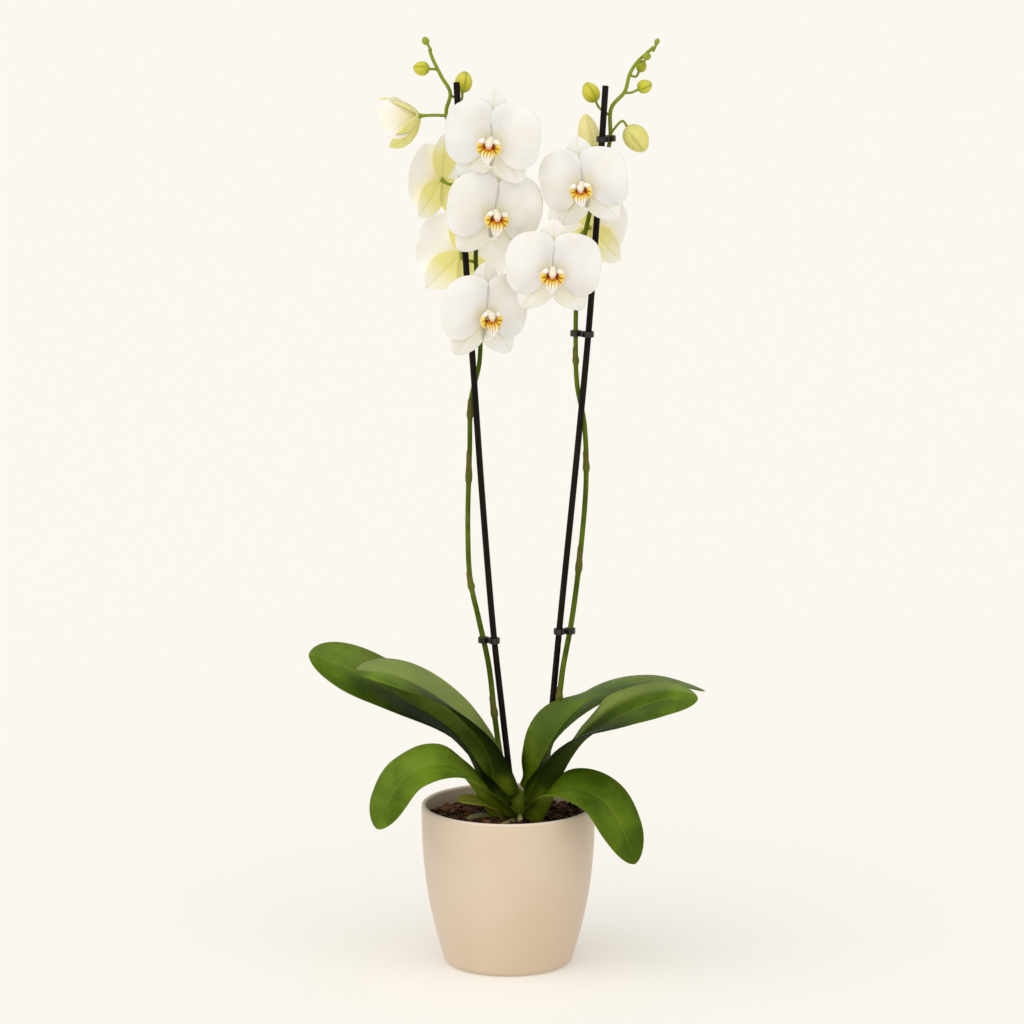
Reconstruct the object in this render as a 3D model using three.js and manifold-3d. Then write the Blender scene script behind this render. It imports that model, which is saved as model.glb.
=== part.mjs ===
// A moth orchid (Phalaenopsis) with two flower spikes tied to black stakes, in a ceramic cover pot.
// Millimetres, +Z up. The origin is the centre of the pot's underside, on the surface it stands on.
import * as THREE from "three";
import { ParametricGeometry } from "three/addons/geometries/ParametricGeometry.js";
import { mergeVertices } from "three/addons/utils/BufferGeometryUtils.js";
import Module from "manifold-3d";

const wasm = await Module();
wasm.setup();

// Driving dimensions.
const potHeight = 130;
const potRimRadius = 70; // the usual 14 cm cover pot, for a 12 cm grow pot
const potBaseRadius = 50.5;
const potSwell = 2.35; // how soon above the foot the pot reaches its full width
const potFootRounding = 5;
const potWall = 3.6;
const potFloor = 7;
const potInnerRounding = 4; // between the pot's wall and its floor
const headroom = 12; // from the growing medium's surface up to the pot's rim
const barkLevel = potHeight - headroom; // height of the medium's surface
const growPotDepth = 8; // from the medium's surface down to the grow pot's rim
const growPotHeight = barkLevel - growPotDepth - potFloor;
const growPotRimRadius = potRimRadius - 12;
const growPotBaseRadius = potBaseRadius - 5;
const growPotWall = 1.2;
const growPotRimFold = 1.5;
const growPotRimHeight = 6;
const growPotDrainRadius = 6;
const gap = 0.3; // clearance between neighbours that touch
const boreRoom = 0.5; // clearance round what stands in the medium
const rootRoom = 0.7;
const stakeFoot = potFloor + 7 - barkLevel; // where the stakes end, inside the grow pot
const stakeRadius = 2.5;
const stemBaseRadius = 2.4;
const stemTipRadius = 1.3;
const pedicelRadius = 1.3;
const rootRadius = 2.4;
const crownRadius = 9;
const crownTop = 25; // above the medium
const crownFoot = -26;
const crownX = 9;
const crownY = -3;
const sepalLength = 39;
const sepalHalfWidth = 12.5;
const petalLength = 38;
const petalHalfWidth = 25;
const tepalHalfThickness = 0.6;
const receptacleSize = 4.4; // where sepals and petals meet, behind the column
const receptacleFlatness = 0.62;
const receptacleDepth = 2;
const pedicelReach = 9; // how far behind the flower its stalk bends
const leafHalfThickness = 1.1;
const clipWall = 1.3;
const clipHeight = 4.4;
const clipClearance = 0.7;

const up = new THREE.Vector3(0, 0, 1);
const towardsFront = new THREE.Vector3(0, -1, 0.1).normalize();

// Materials.
function material(color, roughness) {
  return new THREE.MeshStandardMaterial({ color, roughness });
}
const potGlaze = material(0xdfc9b1, 0.42);
const clearPlastic = material(0xb9bdb4, 0.25);
const bark = material(0x4a2f22, 0.95);
const leafGreen = material(0x4f7d2b, 0.38);
const oldLeafGreen = material(0xa9b463, 0.55);
const rootGreen = material(0xa3a878, 0.7);
const stemGreen = material(0x6c8a30, 0.5);
const stakePaint = material(0x352d29, 0.55);
const clipPlastic = material(0x1e1c1b, 0.45);
const budGreen = material(0xcbc954, 0.45);
const petalWhite = material(0xf7f3ea, 0.6);
const lipYellow = material(0xe9a63a, 0.5);

// The plant's own heights are measured from the medium's surface.
const orchid = new THREE.Group();
const plant = new THREE.Group();
plant.position.z = barkLevel;
orchid.add(plant);

function addMesh(parent, name, geometry, surface) {
  const mesh = new THREE.Mesh(geometry, surface);
  mesh.name = name;
  parent.add(mesh);
  return mesh;
}

// Joins and cuts.
function toSolid(geometry) {
  const bare = geometry.clone();
  bare.deleteAttribute("normal");
  bare.deleteAttribute("uv");
  const merged = mergeVertices(bare, 1e-4);
  return new wasm.Manifold(
    new wasm.Mesh({
      numProp: 3,
      vertProperties: new Float32Array(merged.attributes.position.array),
      triVerts: new Uint32Array(merged.index.array),
    }),
  );
}

function toGeometry(solid) {
  const mesh = solid.getMesh();
  const geometry = new THREE.BufferGeometry();
  geometry.setAttribute("position", new THREE.BufferAttribute(mesh.vertProperties, 3));
  geometry.setIndex(new THREE.BufferAttribute(mesh.triVerts, 1));
  geometry.computeVertexNormals();
  return geometry;
}

function join(geometries) {
  return toGeometry(geometries.map(toSolid).reduce((whole, part) => whole.add(part)));
}

function cut(geometry, tools) {
  return toGeometry(tools.map(toSolid).reduce((rest, tool) => rest.subtract(tool), toSolid(geometry)));
}

// Shapes that everything is grown from.
function curveThrough(points) {
  return new THREE.CatmullRomCurve3(points.map((point) => new THREE.Vector3(...point)), false, "centripetal");
}

function circle(radius, sides) {
  const shape = new THREE.Shape();
  for (let i = 0; i < sides; i += 1) {
    const angle = (2 * Math.PI * i) / sides;
    const place = [radius * Math.cos(angle), radius * Math.sin(angle)];
    if (i === 0) shape.moveTo(...place);
    else shape.lineTo(...place);
  }
  shape.closePath();
  return shape;
}

function tube(route, radius, steps, sides = 8) {
  return new THREE.ExtrudeGeometry(circle(radius, sides), {
    steps,
    bevelEnabled: false,
    extrudePath: route,
  });
}

// A cord that thins along its route and is rounded at both ends.
function taperedCord(route, startRadius, endRadius, sides, stacks) {
  const ends = roundEnds(0.01, 0.01);
  const thickness = (along) => THREE.MathUtils.lerp(startRadius, endRadius, along) * ends(along);
  return blade({
    route,
    halfWidth: thickness,
    halfThickness: thickness,
    roll: constant(0),
    keel: constant(0),
    cup: constant(0),
    reference: towardsFront,
    slices: sides,
    stacks,
  });
}

function lathe(profile, segments) {
  return new THREE.LatheGeometry(profile.map((point) => new THREE.Vector2(...point)), segments).rotateX(
    Math.PI / 2,
  );
}

// A closed blade around a route: lens-shaped across, pointed or rounded at both ends.
// halfWidth, halfThickness, roll, keel and cup are functions of the way along, from 0 to 1.
function blade(spec) {
  const { route, halfWidth, halfThickness, roll, keel, cup, slices, stacks } = spec;
  const tangent = new THREE.Vector3();
  const level = new THREE.Vector3();
  const raised = new THREE.Vector3();
  const side = new THREE.Vector3();
  const normal = new THREE.Vector3();
  const reference = spec.reference ?? up;
  return new ParametricGeometry(
    (u, v, target) => {
      const along = 0.5 - 0.5 * Math.cos(Math.PI * v);
      route.getPoint(along, target);
      route.getTangent(along, tangent);
      level.crossVectors(tangent, reference).normalize();
      raised.crossVectors(level, tangent);
      const turn = roll(along);
      side.copy(level).multiplyScalar(Math.cos(turn)).addScaledVector(raised, Math.sin(turn));
      normal.crossVectors(side, tangent);
      const angle = -2 * Math.PI * u;
      const across = halfWidth(along) * Math.cos(angle);
      const fold = keel(along) * Math.abs(across) + cup(along) * across * across;
      target.addScaledVector(side, across);
      target.addScaledVector(normal, fold + halfThickness(along) * Math.sin(angle));
    },
    slices,
    stacks,
  );
}

function constant(value) {
  return () => value;
}

function between(start, end, from = 0, to = 1) {
  return (along) => THREE.MathUtils.lerp(start, end, THREE.MathUtils.smoothstep(along, from, to));
}

function roundEnds(start, end) {
  return (along) => {
    if (along < start) return Math.sqrt(Math.max(0, 1 - (1 - along / start) ** 2));
    if (along > 1 - end) return Math.sqrt(Math.max(0, 1 - (1 - (1 - along) / end) ** 2));
    return 1;
  };
}

// Cover pot: a tapered cup with a rounded foot, turned about the Z axis.
function coverPotRadius(height) {
  const taper = potRimRadius - potBaseRadius;
  return potBaseRadius + taper * (1 - (1 - height / potHeight) ** potSwell);
}

function coverPotGeometry() {
  const rounding = potWall / 2;
  const steps = 7;
  const shoulder = 0.3 * potFootRounding;
  const profile = [
    [0, 0],
    [potBaseRadius - potFootRounding, 0],
    [coverPotRadius(shoulder) - shoulder, shoulder],
  ];
  for (let i = 0; i <= steps; i += 1) {
    const height = potFootRounding + ((potHeight - rounding - potFootRounding) * i) / steps;
    profile.push([coverPotRadius(height), height]);
  }
  profile.push([potRimRadius - 0.6, potHeight - 0.5]);
  profile.push([potRimRadius - rounding, potHeight]);
  profile.push([potRimRadius - potWall + 0.6, potHeight - 0.5]);
  for (let i = steps; i >= 1; i -= 1) {
    const start = potFloor + potInnerRounding;
    const height = start + ((potHeight - rounding - start) * i) / steps;
    profile.push([coverPotRadius(height) - potWall, height]);
  }
  profile.push([coverPotRadius(potFloor) - potWall - 0.75 * potInnerRounding, potFloor]);
  profile.push([0, potFloor]);
  return lathe(profile, 34);
}

// Grow pot: the thin plastic pot that the plant was raised in, with one drain hole in its floor.
function growPotGeometry() {
  const bottom = potFloor + gap;
  const top = bottom + growPotHeight;
  return lathe(
    [
      [growPotDrainRadius, bottom],
      [growPotBaseRadius, bottom],
      [growPotRimRadius - 1, top - growPotRimHeight],
      [growPotRimRadius + growPotRimFold, top - growPotRimHeight],
      [growPotRimRadius + growPotRimFold, top],
      [growPotRimRadius - growPotWall, top],
      [growPotBaseRadius - growPotWall, bottom + growPotWall],
      [growPotDrainRadius, bottom + growPotWall],
      [growPotDrainRadius, bottom],
    ],
    24,
  );
}

// Stakes and flower spikes follow hand-set routes.
const leftStakeRoute = curveThrough([
  [12, 11, stakeFoot],
  [5, 14, -6],
  [-3.6, 13.5, 74],
  [-12, 11, 152],
  [-20.5, 9.5, 258],
  [-27.5, 8, 362],
  [-33.3, 7, 449],
  [-40.4, 6, 591],
]);
const rightStakeRoute = curveThrough([
  [22, 20, stakeFoot],
  [27.5, 18, -6],
  [35.4, 16, 90],
  [42, 13, 164],
  [54.2, 11, 290],
  [63.4, 10, 392],
  [69, 9, 472],
  [76.2, 8, 588],
]);
const leftStemRoute = curveThrough([
  [4, 8.5, 10],
  [-2.5, 9.5, 32],
  [-6.2, 11, 48],
  [-10.6, 13.5, 78],
  [-15.6, 14, 122],
  [-23.6, 14, 160],
  [-30.3, 14, 192],
  [-32.2, 14, 234],
  [-30.6, 14.5, 298],
  [-29.4, 15, 338],
  [-22.8, 15, 368],
  [-22.6, 14, 412],
  [-25.6, 14, 452],
  [-23, 14.5, 488],
  [-29, 14.5, 516],
  [-41, 13.5, 544],
  [-48.6, 12.5, 566],
  [-45.4, 12, 582],
  [-52.4, 12, 595],
  [-59.6, 12, 610],
  [-61.8, 12, 617],
]);
const rightStemRoute = curveThrough([
  [15.5, 7, 10],
  [27, 8, 50],
  [39.8, 11.5, 92],
  [43.8, 14, 120],
  [51, 16, 160],
  [58, 16.5, 218],
  [62, 16.5, 274],
  [60.4, 16.5, 318],
  [54.6, 16, 350],
  [53.4, 15, 386],
  [54.5, 15, 427],
  [61, 15.6, 472],
  [72, 15, 516],
  [79.9, 14, 544],
  [81, 13.5, 570],
  [91.4, 13, 583],
  [95.4, 12.5, 597],
  [101, 12, 606],
  [114.5, 12, 618.5],
]);

function pointAtHeight(route, height) {
  let low = 0;
  let high = 1;
  for (let i = 0; i < 40; i += 1) {
    const middle = (low + high) / 2;
    if (route.getPoint(middle).z < height) low = middle;
    else high = middle;
  }
  return route.getPoint(low);
}

// Clip: two small rings side by side, one around the stake and one around the stem, with two finger tabs.
function ring(centre, bore, height) {
  const shape = circle(bore + clipWall, 10);
  const geometry = new THREE.ExtrudeGeometry(shape, { depth: clipHeight, bevelEnabled: false });
  return geometry.translate(centre.x, centre.y, height - clipHeight / 2);
}

function clipGeometry(stakeRoute, stemRoute, height) {
  const stake = pointAtHeight(stakeRoute, height);
  const stem = pointAtHeight(stemRoute, height);
  const stakeBore = stakeRadius + clipClearance;
  const stemBore = stemBaseRadius + clipClearance;
  const across = stem.clone().sub(stake).setZ(0);
  const turn = Math.atan2(across.y, across.x);
  const front = turn > -Math.PI / 2 && turn < Math.PI / 2 ? turn - Math.PI / 2 : turn + Math.PI / 2;
  const bridge = new THREE.BoxGeometry(across.length(), clipWall * 2, clipHeight);
  bridge.rotateZ(turn);
  bridge.translate((stake.x + stem.x) / 2, (stake.y + stem.y) / 2, height);
  const tabs = [-1, 1].map((hand) => {
    const tab = new THREE.BoxGeometry(6.4, 1.4, clipHeight - 1);
    tab.translate(3.2, hand * 0.9, 0);
    tab.rotateZ(front + hand * 0.3);
    return tab.translate((stake.x + stem.x) / 2, (stake.y + stem.y) / 2, height);
  });
  const bores = [tube(stakeRoute, stakeBore, 70, 10), tube(stemRoute, stemBore, 70, 10)];
  const rings = [ring(stake, stakeBore, height), ring(stem, stemBore, height)];
  return cut(join([...rings, bridge, ...tabs]), bores);
}

// Flowers: each has a centre, a facing angle about +Z (0 faces -Y), a nod (positive looks down),
// a roll about its own axis and a size. A flower that is not fully open is also cupped, from 0 to 1.
const flowerSpecs = [
  { name: "flower_left_1", at: [-13, -27, 549], facing: -12, nod: 4, roll: 4, size: 1.04 },
  { name: "flower_left_2", at: [-10.5, -17, 491], facing: 14, nod: 4, roll: 6, size: 1.05 },
  { name: "flower_left_3", at: [-17, -20, 412], facing: 28, nod: 2, roll: 2, size: 1.04 },
  { name: "flower_left_4", at: [-72, 16, 563], facing: 262, nod: 16, roll: 0, size: 0.92, cupped: 0.85 },
  { name: "flower_left_5", at: [-54, 35, 511], facing: 222, nod: 0, roll: -4, size: 0.96 },
  { name: "flower_left_6", at: [-37, 42, 451.5], facing: 184, nod: 0, roll: -8, size: 1.02 },
  { name: "flower_right_1", at: [58.5, -24, 514], facing: -16, nod: 4, roll: -8, size: 0.98 },
  { name: "flower_right_2", at: [35, -31, 448], facing: -2, nod: 4, roll: 2, size: 1.02 },
  { name: "flower_right_3", at: [66, 42, 472], facing: 144, nod: 0, roll: 14, size: 1 },
];

// A tepal grows from the flower's centre in the XZ plane, leaning towards -Y when the flower is cupped.
function tepal(direction, length, width, depth, bow, lean, cupping) {
  const angle = THREE.MathUtils.degToRad(direction);
  const outward = new THREE.Vector3(Math.cos(angle), 0, Math.sin(angle));
  const forward = new THREE.Vector3(0, -1, 0);
  const points = [0, 0.35, 0.7, 1].map((part) => {
    const tilt = lean * (0.35 + 0.65 * part);
    const reach = length * part;
    return new THREE.Vector3(0, depth, 0)
      .addScaledVector(outward, reach * Math.cos(tilt))
      .addScaledVector(forward, reach * Math.sin(tilt) + bow * part * part);
  });
  return blade({
    route: new THREE.CatmullRomCurve3(points),
    halfWidth: (along) => width * Math.sqrt(Math.max(0, 1 - (2 * along ** 0.92 - 1) ** 2)),
    halfThickness: (along) => tepalHalfThickness * roundEnds(0.04, 0.1)(along),
    roll: constant(0),
    keel: constant(0),
    cup: constant(cupping),
    reference: forward,
    slices: 6,
    stacks: 5,
  });
}

function receptacleRadius(cupped) {
  return receptacleSize + 3 * cupped;
}

function perianthGeometry(cupped) {
  const petalLean = 1.1 * cupped;
  const sepalLean = 1.0 * cupped;
  const cupping = 0.002 + 0.016 * cupped;
  const receptacle = new THREE.SphereGeometry(receptacleRadius(cupped), 8, 4);
  receptacle.scale(1, receptacleFlatness, 1).translate(0, receptacleDepth, 0);
  const sepals = [91, 232, 308].map((direction) =>
    tepal(direction, sepalLength, sepalHalfWidth, 2.2, -2.5, sepalLean, cupping),
  );
  const petals = [14, 166].map((direction) =>
    tepal(direction, petalLength, petalHalfWidth * (1 - 0.45 * cupped), 0.5, 1.5, petalLean, cupping),
  );
  return join([receptacle, ...sepals, ...petals]);
}

// Lip and column: the short column over a three-lobed lip, the two side lobes standing up beside it.
function lipGeometry(cupped) {
  const column = new THREE.SphereGeometry(3.2, 6, 4).scale(1, 1.7, 1).rotateX(0.35).translate(0, -6.4, -0.6);
  const lobe = (points, width, thickness) =>
    blade({
      route: curveThrough(points),
      halfWidth: (along) => width * Math.sin(Math.PI * along ** 0.8),
      halfThickness: (along) => thickness * roundEnds(0.1, 0.2)(along),
      roll: constant(0),
      keel: constant(0),
      cup: constant(0.01),
      reference: new THREE.Vector3(0, -1, 0.4).normalize(),
      slices: 4,
      stacks: 4,
    });
  const middle = lobe([[0, -5, -1], [0, -10, -8], [0, -11, -15], [0, -7, -21]], 5, 0.9);
  const sides = [-1, 1].map((hand) =>
    lobe([[0, -5, -1.5], [hand * 6, -8, -6], [hand * 9.5, -9, -9], [hand * 11, -8, -12]], 4.5, 0.8),
  );
  const squeeze = 1 - 0.7 * cupped;
  return join([column, middle, ...sides])
    .translate(0, 1.4, 0)
    .scale(squeeze, squeeze, squeeze)
    .translate(0, -1.4 - 5 * cupped, 0);
}

function placed(spec) {
  const holder = new THREE.Group();
  holder.position.set(...spec.at);
  holder.rotation.order = "ZXY";
  holder.rotation.set(
    THREE.MathUtils.degToRad(spec.nod),
    THREE.MathUtils.degToRad(spec.roll),
    THREE.MathUtils.degToRad(spec.facing),
  );
  holder.scale.setScalar(spec.size);
  holder.updateMatrixWorld(true);
  return holder;
}

function addFlower(spec) {
  const cupped = spec.cupped ?? 0;
  const holder = placed(spec);
  addMesh(holder, spec.name + "_petals", perianthGeometry(cupped), petalWhite);
  addMesh(holder, spec.name + "_lip", lipGeometry(cupped), lipYellow);
  plant.add(holder);
}

// Buds: an egg with its point outwards, on a thin pedicel.
const budSpecs = [
  { name: "bud_left_1", at: [-36, 17, 581.5], axis: [0.15, 0.1, 1], length: 17, radius: 6.9 },
  { name: "bud_left_2", at: [-61.5, 13.5, 600.5], axis: [-1, 0.05, 0.1], length: 13, radius: 5.7 },
  { name: "bud_left_3", at: [-63, 12, 620], axis: [-0.55, 0, 1], length: 6.5, radius: 2.9 },
  { name: "bud_right_1", at: [69, 21, 574], axis: [-0.55, 0.2, 1], length: 17, radius: 6.8 },
  { name: "bud_right_2", at: [93, 8, 556], axis: [0.62, -0.1, -0.8], length: 24, radius: 9.6 },
  { name: "bud_right_3", at: [101.5, 12, 584.5], axis: [1, 0.05, 0.45], length: 12, radius: 5.5 },
  { name: "bud_right_4", at: [102.5, 17, 598.5], axis: [0.5, 0.55, 0.8], length: 9.5, radius: 4.2 },
  { name: "bud_right_5", at: [107.5, 8.5, 609.5], axis: [0.3, -0.75, 0.5], length: 7, radius: 3.2 },
  { name: "bud_right_6", at: [115.6, 12, 620], axis: [0.4, 0, 1], length: 5, radius: 2.1 },
  { name: "bud_right_opening", at: [68, 27, 526], axis: [-0.2, 0.1, 1], length: 38, radius: 9 },
];

function budGeometry(spec) {
  const start = new THREE.Vector3(...spec.at);
  const end = start.clone().addScaledVector(new THREE.Vector3(...spec.axis).normalize(), spec.length);
  const swelling = (along) => spec.radius * Math.sqrt(Math.max(0, Math.sin(Math.PI * along ** 0.88)));
  return blade({
    route: new THREE.LineCurve3(start, end),
    halfWidth: swelling,
    halfThickness: (along) => 0.92 * swelling(along),
    roll: constant(0),
    keel: constant(0),
    cup: constant(0),
    reference: towardsFront,
    slices: 8,
    stacks: 6,
  });
}

// Leaves: a route along the midrib, a roll of the blade about it, and a fold that opens from base to tip.
const leafSpecs = [
  {
    name: "leaf_left_long",
    points: [
      [-2.8, -2.2, 10],
      [-16.5, -4.5, 33],
      [-44, 0, 71],
      [-88, 3, 100],
      [-128, 2, 122],
      [-159, -2, 135],
    ],
    halfWidth: 30,
    roll: [6, 34],
    keel: [0.7, 0.1],
  },
  {
    name: "leaf_left_upper",
    points: [
      [-0.2, -5, 19.1],
      [-9, -9, 47.3],
      [-32.9, -15, 80.7],
      [-62.2, -19, 106.9],
      [-93.9, -21, 122.9],
      [-120.8, -22, 126.3],
    ],
    halfWidth: 26,
    roll: [8, 14],
    keel: [0.8, 0.12],
  },
  {
    name: "leaf_left_lower",
    points: [
      [-3.4, -12.5, 5.3],
      [-15.3, -23, 22.8],
      [-30.4, -33, 40],
      [-47.7, -42, 52.9],
      [-65.9, -46, 53],
      [-82.5, -48, 43.8],
      [-94.4, -50, 27.1],
      [-104, -53, 4.2],
    ],
    halfWidth: 23,
    petiole: 0.66,
    roll: [18, 34],
    keel: [0.45, 0.1],
  },
  {
    name: "leaf_right_upper",
    points: [
      [21.4, -4, 19.7],
      [26.6, -7, 47.6],
      [44.5, -9, 80.1],
      [75.6, -3.5, 104.2],
      [117.3, 5, 112.1],
      [157.6, 10, 101.9],
    ],
    halfWidth: 26.4,
    petiole: 0.42,
    roll: [-44, 2],
    keel: [0.95, 0.1],
    settles: [0.25, 0.56],
  },
  {
    name: "leaf_right_long",
    points: [
      [21, -13.5, 12.2],
      [34.1, -24, 39.5],
      [55.3, -43, 70.2],
      [75.6, -54, 88.6],
      [98.4, -56.5, 102],
      [122.7, -57, 110],
      [149.5, -57, 111.6],
    ],
    halfWidth: 28,
    roll: [-14, -20],
    keel: [0.7, 0.12],
  },
  {
    name: "leaf_right_lower",
    points: [
      [19.4, -19, 3.7],
      [26.9, -31, 19.9],
      [37.9, -41, 31.4],
      [53.7, -47, 35.4],
      [74.2, -53, 27.9],
      [90.1, -58, 5.5],
      [100.4, -62, -22],
    ],
    halfWidth: 23,
    roll: [-14, -34],
    keel: [0.6, 0.08],
  },
  {
    name: "leaf_old_small",
    points: [
      [0.2, -17.5, 2.5],
      [-11.4, -25, 12.6],
      [-26.4, -32, 21],
      [-40.7, -35, 23.4],
    ],
    halfWidth: 7.5,
    roll: [10, 20],
    keel: [0.6, 0.3],
  },
];

function leafGeometry(spec) {
  const petiole = spec.petiole ?? 0.34;
  const settles = spec.settles ?? [0, 1];
  const swell = (along) => petiole + (1 - petiole) * THREE.MathUtils.smoothstep(along, 0.05, 0.62);
  const ends = roundEnds(0.03, 0.3);
  const [rollStart, rollEnd] = spec.roll.map(THREE.MathUtils.degToRad);
  return blade({
    route: curveThrough(spec.points),
    halfWidth: (along) => spec.halfWidth * swell(along) * ends(along),
    halfThickness: (along) => leafHalfThickness * ends(along),
    roll: between(rollStart, rollEnd, ...settles),
    keel: between(...spec.keel, ...settles),
    cup: constant(-0.004),
    slices: 8,
    stacks: 11,
  });
}

// Aerial roots: blunt cords that leave the crown and dip into the medium.
const rootSpecs = [
  { name: "root_left", points: [[-3, -9, -1], [-18, -17, 6], [-31, -24, 5], [-38, -31, -4]] },
  { name: "root_front", points: [[4.4, -15.2, 2], [2.6, -28, 4], [-5, -40, 3.5], [-13, -48, -1]] },
  { name: "root_right", points: [[9.8, -15.4, 4], [9.4, -24, 6], [10, -31, -1]] },
];

function rootGeometry(spec) {
  const thickness = (along) => rootRadius * roundEnds(0.08, 0.12)(along);
  return blade({
    route: curveThrough(spec.points),
    halfWidth: thickness,
    halfThickness: thickness,
    roll: constant(0),
    keel: constant(0),
    cup: constant(0),
    slices: 8,
    stacks: 9,
  });
}

// Crown: the plant's short upright stem, which every leaf and spike starts beside.
function crownGeometry(extra) {
  return lathe(
    [
      [0, crownFoot - extra],
      [crownRadius - 3 + extra, crownFoot + 2 - extra],
      [crownRadius + extra, 0],
      [crownRadius - 1.5 + extra, crownTop - 12],
      [3 + extra, crownTop + extra],
      [0, crownTop + extra],
    ],
    14,
  ).translate(crownX, crownY, 0);
}

// Medium: bark heaped over the grow pot's rim, with room left for what stands in it.
function barkGeometry() {
  const inside = gap + growPotWall;
  const bottom = potFloor + gap + growPotWall + gap;
  const rim = potFloor + gap + growPotHeight + gap;
  const innerWall = coverPotRadius(barkLevel) - potWall - 1;
  const bed = lathe(
    [
      [0, bottom],
      [growPotBaseRadius - inside - 0.5, bottom],
      [growPotRimRadius - inside - 0.4, rim],
      [innerWall - 1.5, rim],
      [innerWall, barkLevel - 2],
      [innerWall - 6, barkLevel],
      [0, barkLevel + 1.5],
    ],
    28,
  );
  const roomForStakes = [leftStakeRoute, rightStakeRoute].map((route) =>
    tube(route, stakeRadius + boreRoom, 70, 8),
  );
  const roomForRoots = rootSpecs.map((spec) =>
    tube(curveThrough(spec.points), rootRadius + rootRoom, 9, 8),
  );
  const rooms = [crownGeometry(boreRoom), ...roomForStakes, ...roomForRoots];
  return cut(bed, rooms.map((room) => room.translate(0, 0, barkLevel)));
}

// Pedicels: thin stalks from the stem's nodes to the back of each flower or the foot of each bud.
function flowerFoot(spec) {
  const holder = placed(spec);
  const back = receptacleDepth + receptacleFlatness * receptacleRadius(spec.cupped ?? 0) + gap;
  return {
    end: new THREE.Vector3(0, back + gap, 0).applyMatrix4(holder.matrixWorld),
    before: new THREE.Vector3(0, back + pedicelReach, -3).applyMatrix4(holder.matrixWorld),
  };
}

function budFoot(spec) {
  const axis = new THREE.Vector3(...spec.axis).normalize();
  const end = new THREE.Vector3(...spec.at).addScaledVector(axis, -0.4);
  return { end, before: end.clone().addScaledVector(axis, -5) };
}

function pedicel(stemRoute, height, foot, radius) {
  const start = pointAtHeight(stemRoute, height);
  const route = new THREE.CatmullRomCurve3([start, foot.before, foot.end], false, "centripetal");
  return tube(route, radius, 5, 5);
}

function named(specs, name) {
  return specs.find((spec) => spec.name === name);
}

function node(stemRoute, height) {
  const place = pointAtHeight(stemRoute, height);
  const collar = new THREE.SphereGeometry(stemBaseRadius + 0.8, 6, 3).scale(1, 1, 1.3);
  return collar.translate(place.x, place.y, place.z);
}

function spikeGeometry(stemRoute, flowerFeet, budFeet, nodeHeights) {
  const stem = taperedCord(stemRoute, stemBaseRadius, stemTipRadius, 6, 38);
  const flowerStalks = flowerFeet.map(([name, height]) =>
    pedicel(stemRoute, height, flowerFoot(named(flowerSpecs, name)), pedicelRadius * 1.15),
  );
  const budStalks = budFeet.map(([name, height]) =>
    pedicel(stemRoute, height, budFoot(named(budSpecs, name)), pedicelRadius * 0.85),
  );
  const nodes = nodeHeights.map((height) => node(stemRoute, height));
  return join([stem, ...flowerStalks, ...budStalks, ...nodes]);
}

const leftFlowerFeet = [
  ["flower_left_1", 522],
  ["flower_left_2", 494],
  ["flower_left_3", 420],
  ["flower_left_4", 564],
  ["flower_left_5", 516],
  ["flower_left_6", 448],
];
const leftBudFeet = [
  ["bud_left_1", 580],
  ["bud_left_2", 594],
  ["bud_left_3", 615],
];
const rightFlowerFeet = [
  ["flower_right_1", 490],
  ["flower_right_2", 438],
  ["flower_right_3", 462],
];
const rightBudFeet = [
  ["bud_right_1", 564],
  ["bud_right_2", 550],
  ["bud_right_3", 582],
  ["bud_right_4", 596],
  ["bud_right_5", 606],
  ["bud_right_6", 617],
  ["bud_right_opening", 522],
];

// Assembly.
addMesh(orchid, "cover_pot", coverPotGeometry(), potGlaze);
addMesh(orchid, "grow_pot", growPotGeometry(), clearPlastic);
addMesh(orchid, "bark_bed", barkGeometry(), bark);
addMesh(plant, "crown", crownGeometry(0), stemGreen);
for (const spec of leafSpecs) {
  addMesh(plant, spec.name, leafGeometry(spec), spec.name === "leaf_old_small" ? oldLeafGreen : leafGreen);
}
for (const spec of rootSpecs) {
  addMesh(plant, spec.name, rootGeometry(spec), rootGreen);
}
addMesh(plant, "stake_left", tube(leftStakeRoute, stakeRadius, 16, 8), stakePaint);
addMesh(plant, "stake_right", tube(rightStakeRoute, stakeRadius, 16, 8), stakePaint);
addMesh(
  plant,
  "spike_left",
  spikeGeometry(leftStemRoute, leftFlowerFeet, leftBudFeet, [83, 187, 276, 326]),
  stemGreen,
);
addMesh(
  plant,
  "spike_right",
  spikeGeometry(rightStemRoute, rightFlowerFeet, rightBudFeet, [97, 202, 283, 369]),
  stemGreen,
);
addMesh(plant, "clip_left_lower", clipGeometry(leftStakeRoute, leftStemRoute, 143), clipPlastic);
addMesh(plant, "clip_right_lower", clipGeometry(rightStakeRoute, rightStemRoute, 150), clipPlastic);
addMesh(plant, "clip_right_middle", clipGeometry(rightStakeRoute, rightStemRoute, 391), clipPlastic);
addMesh(plant, "clip_right_upper", clipGeometry(rightStakeRoute, rightStemRoute, 546), clipPlastic);
for (const spec of flowerSpecs) addFlower(spec);
for (const spec of budSpecs) addMesh(plant, spec.name, budGeometry(spec), budGreen);

export default orchid;
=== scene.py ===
import math
import random

import bmesh
import bpy
from mathutils import Euler, Matrix, Vector, noise


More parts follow.
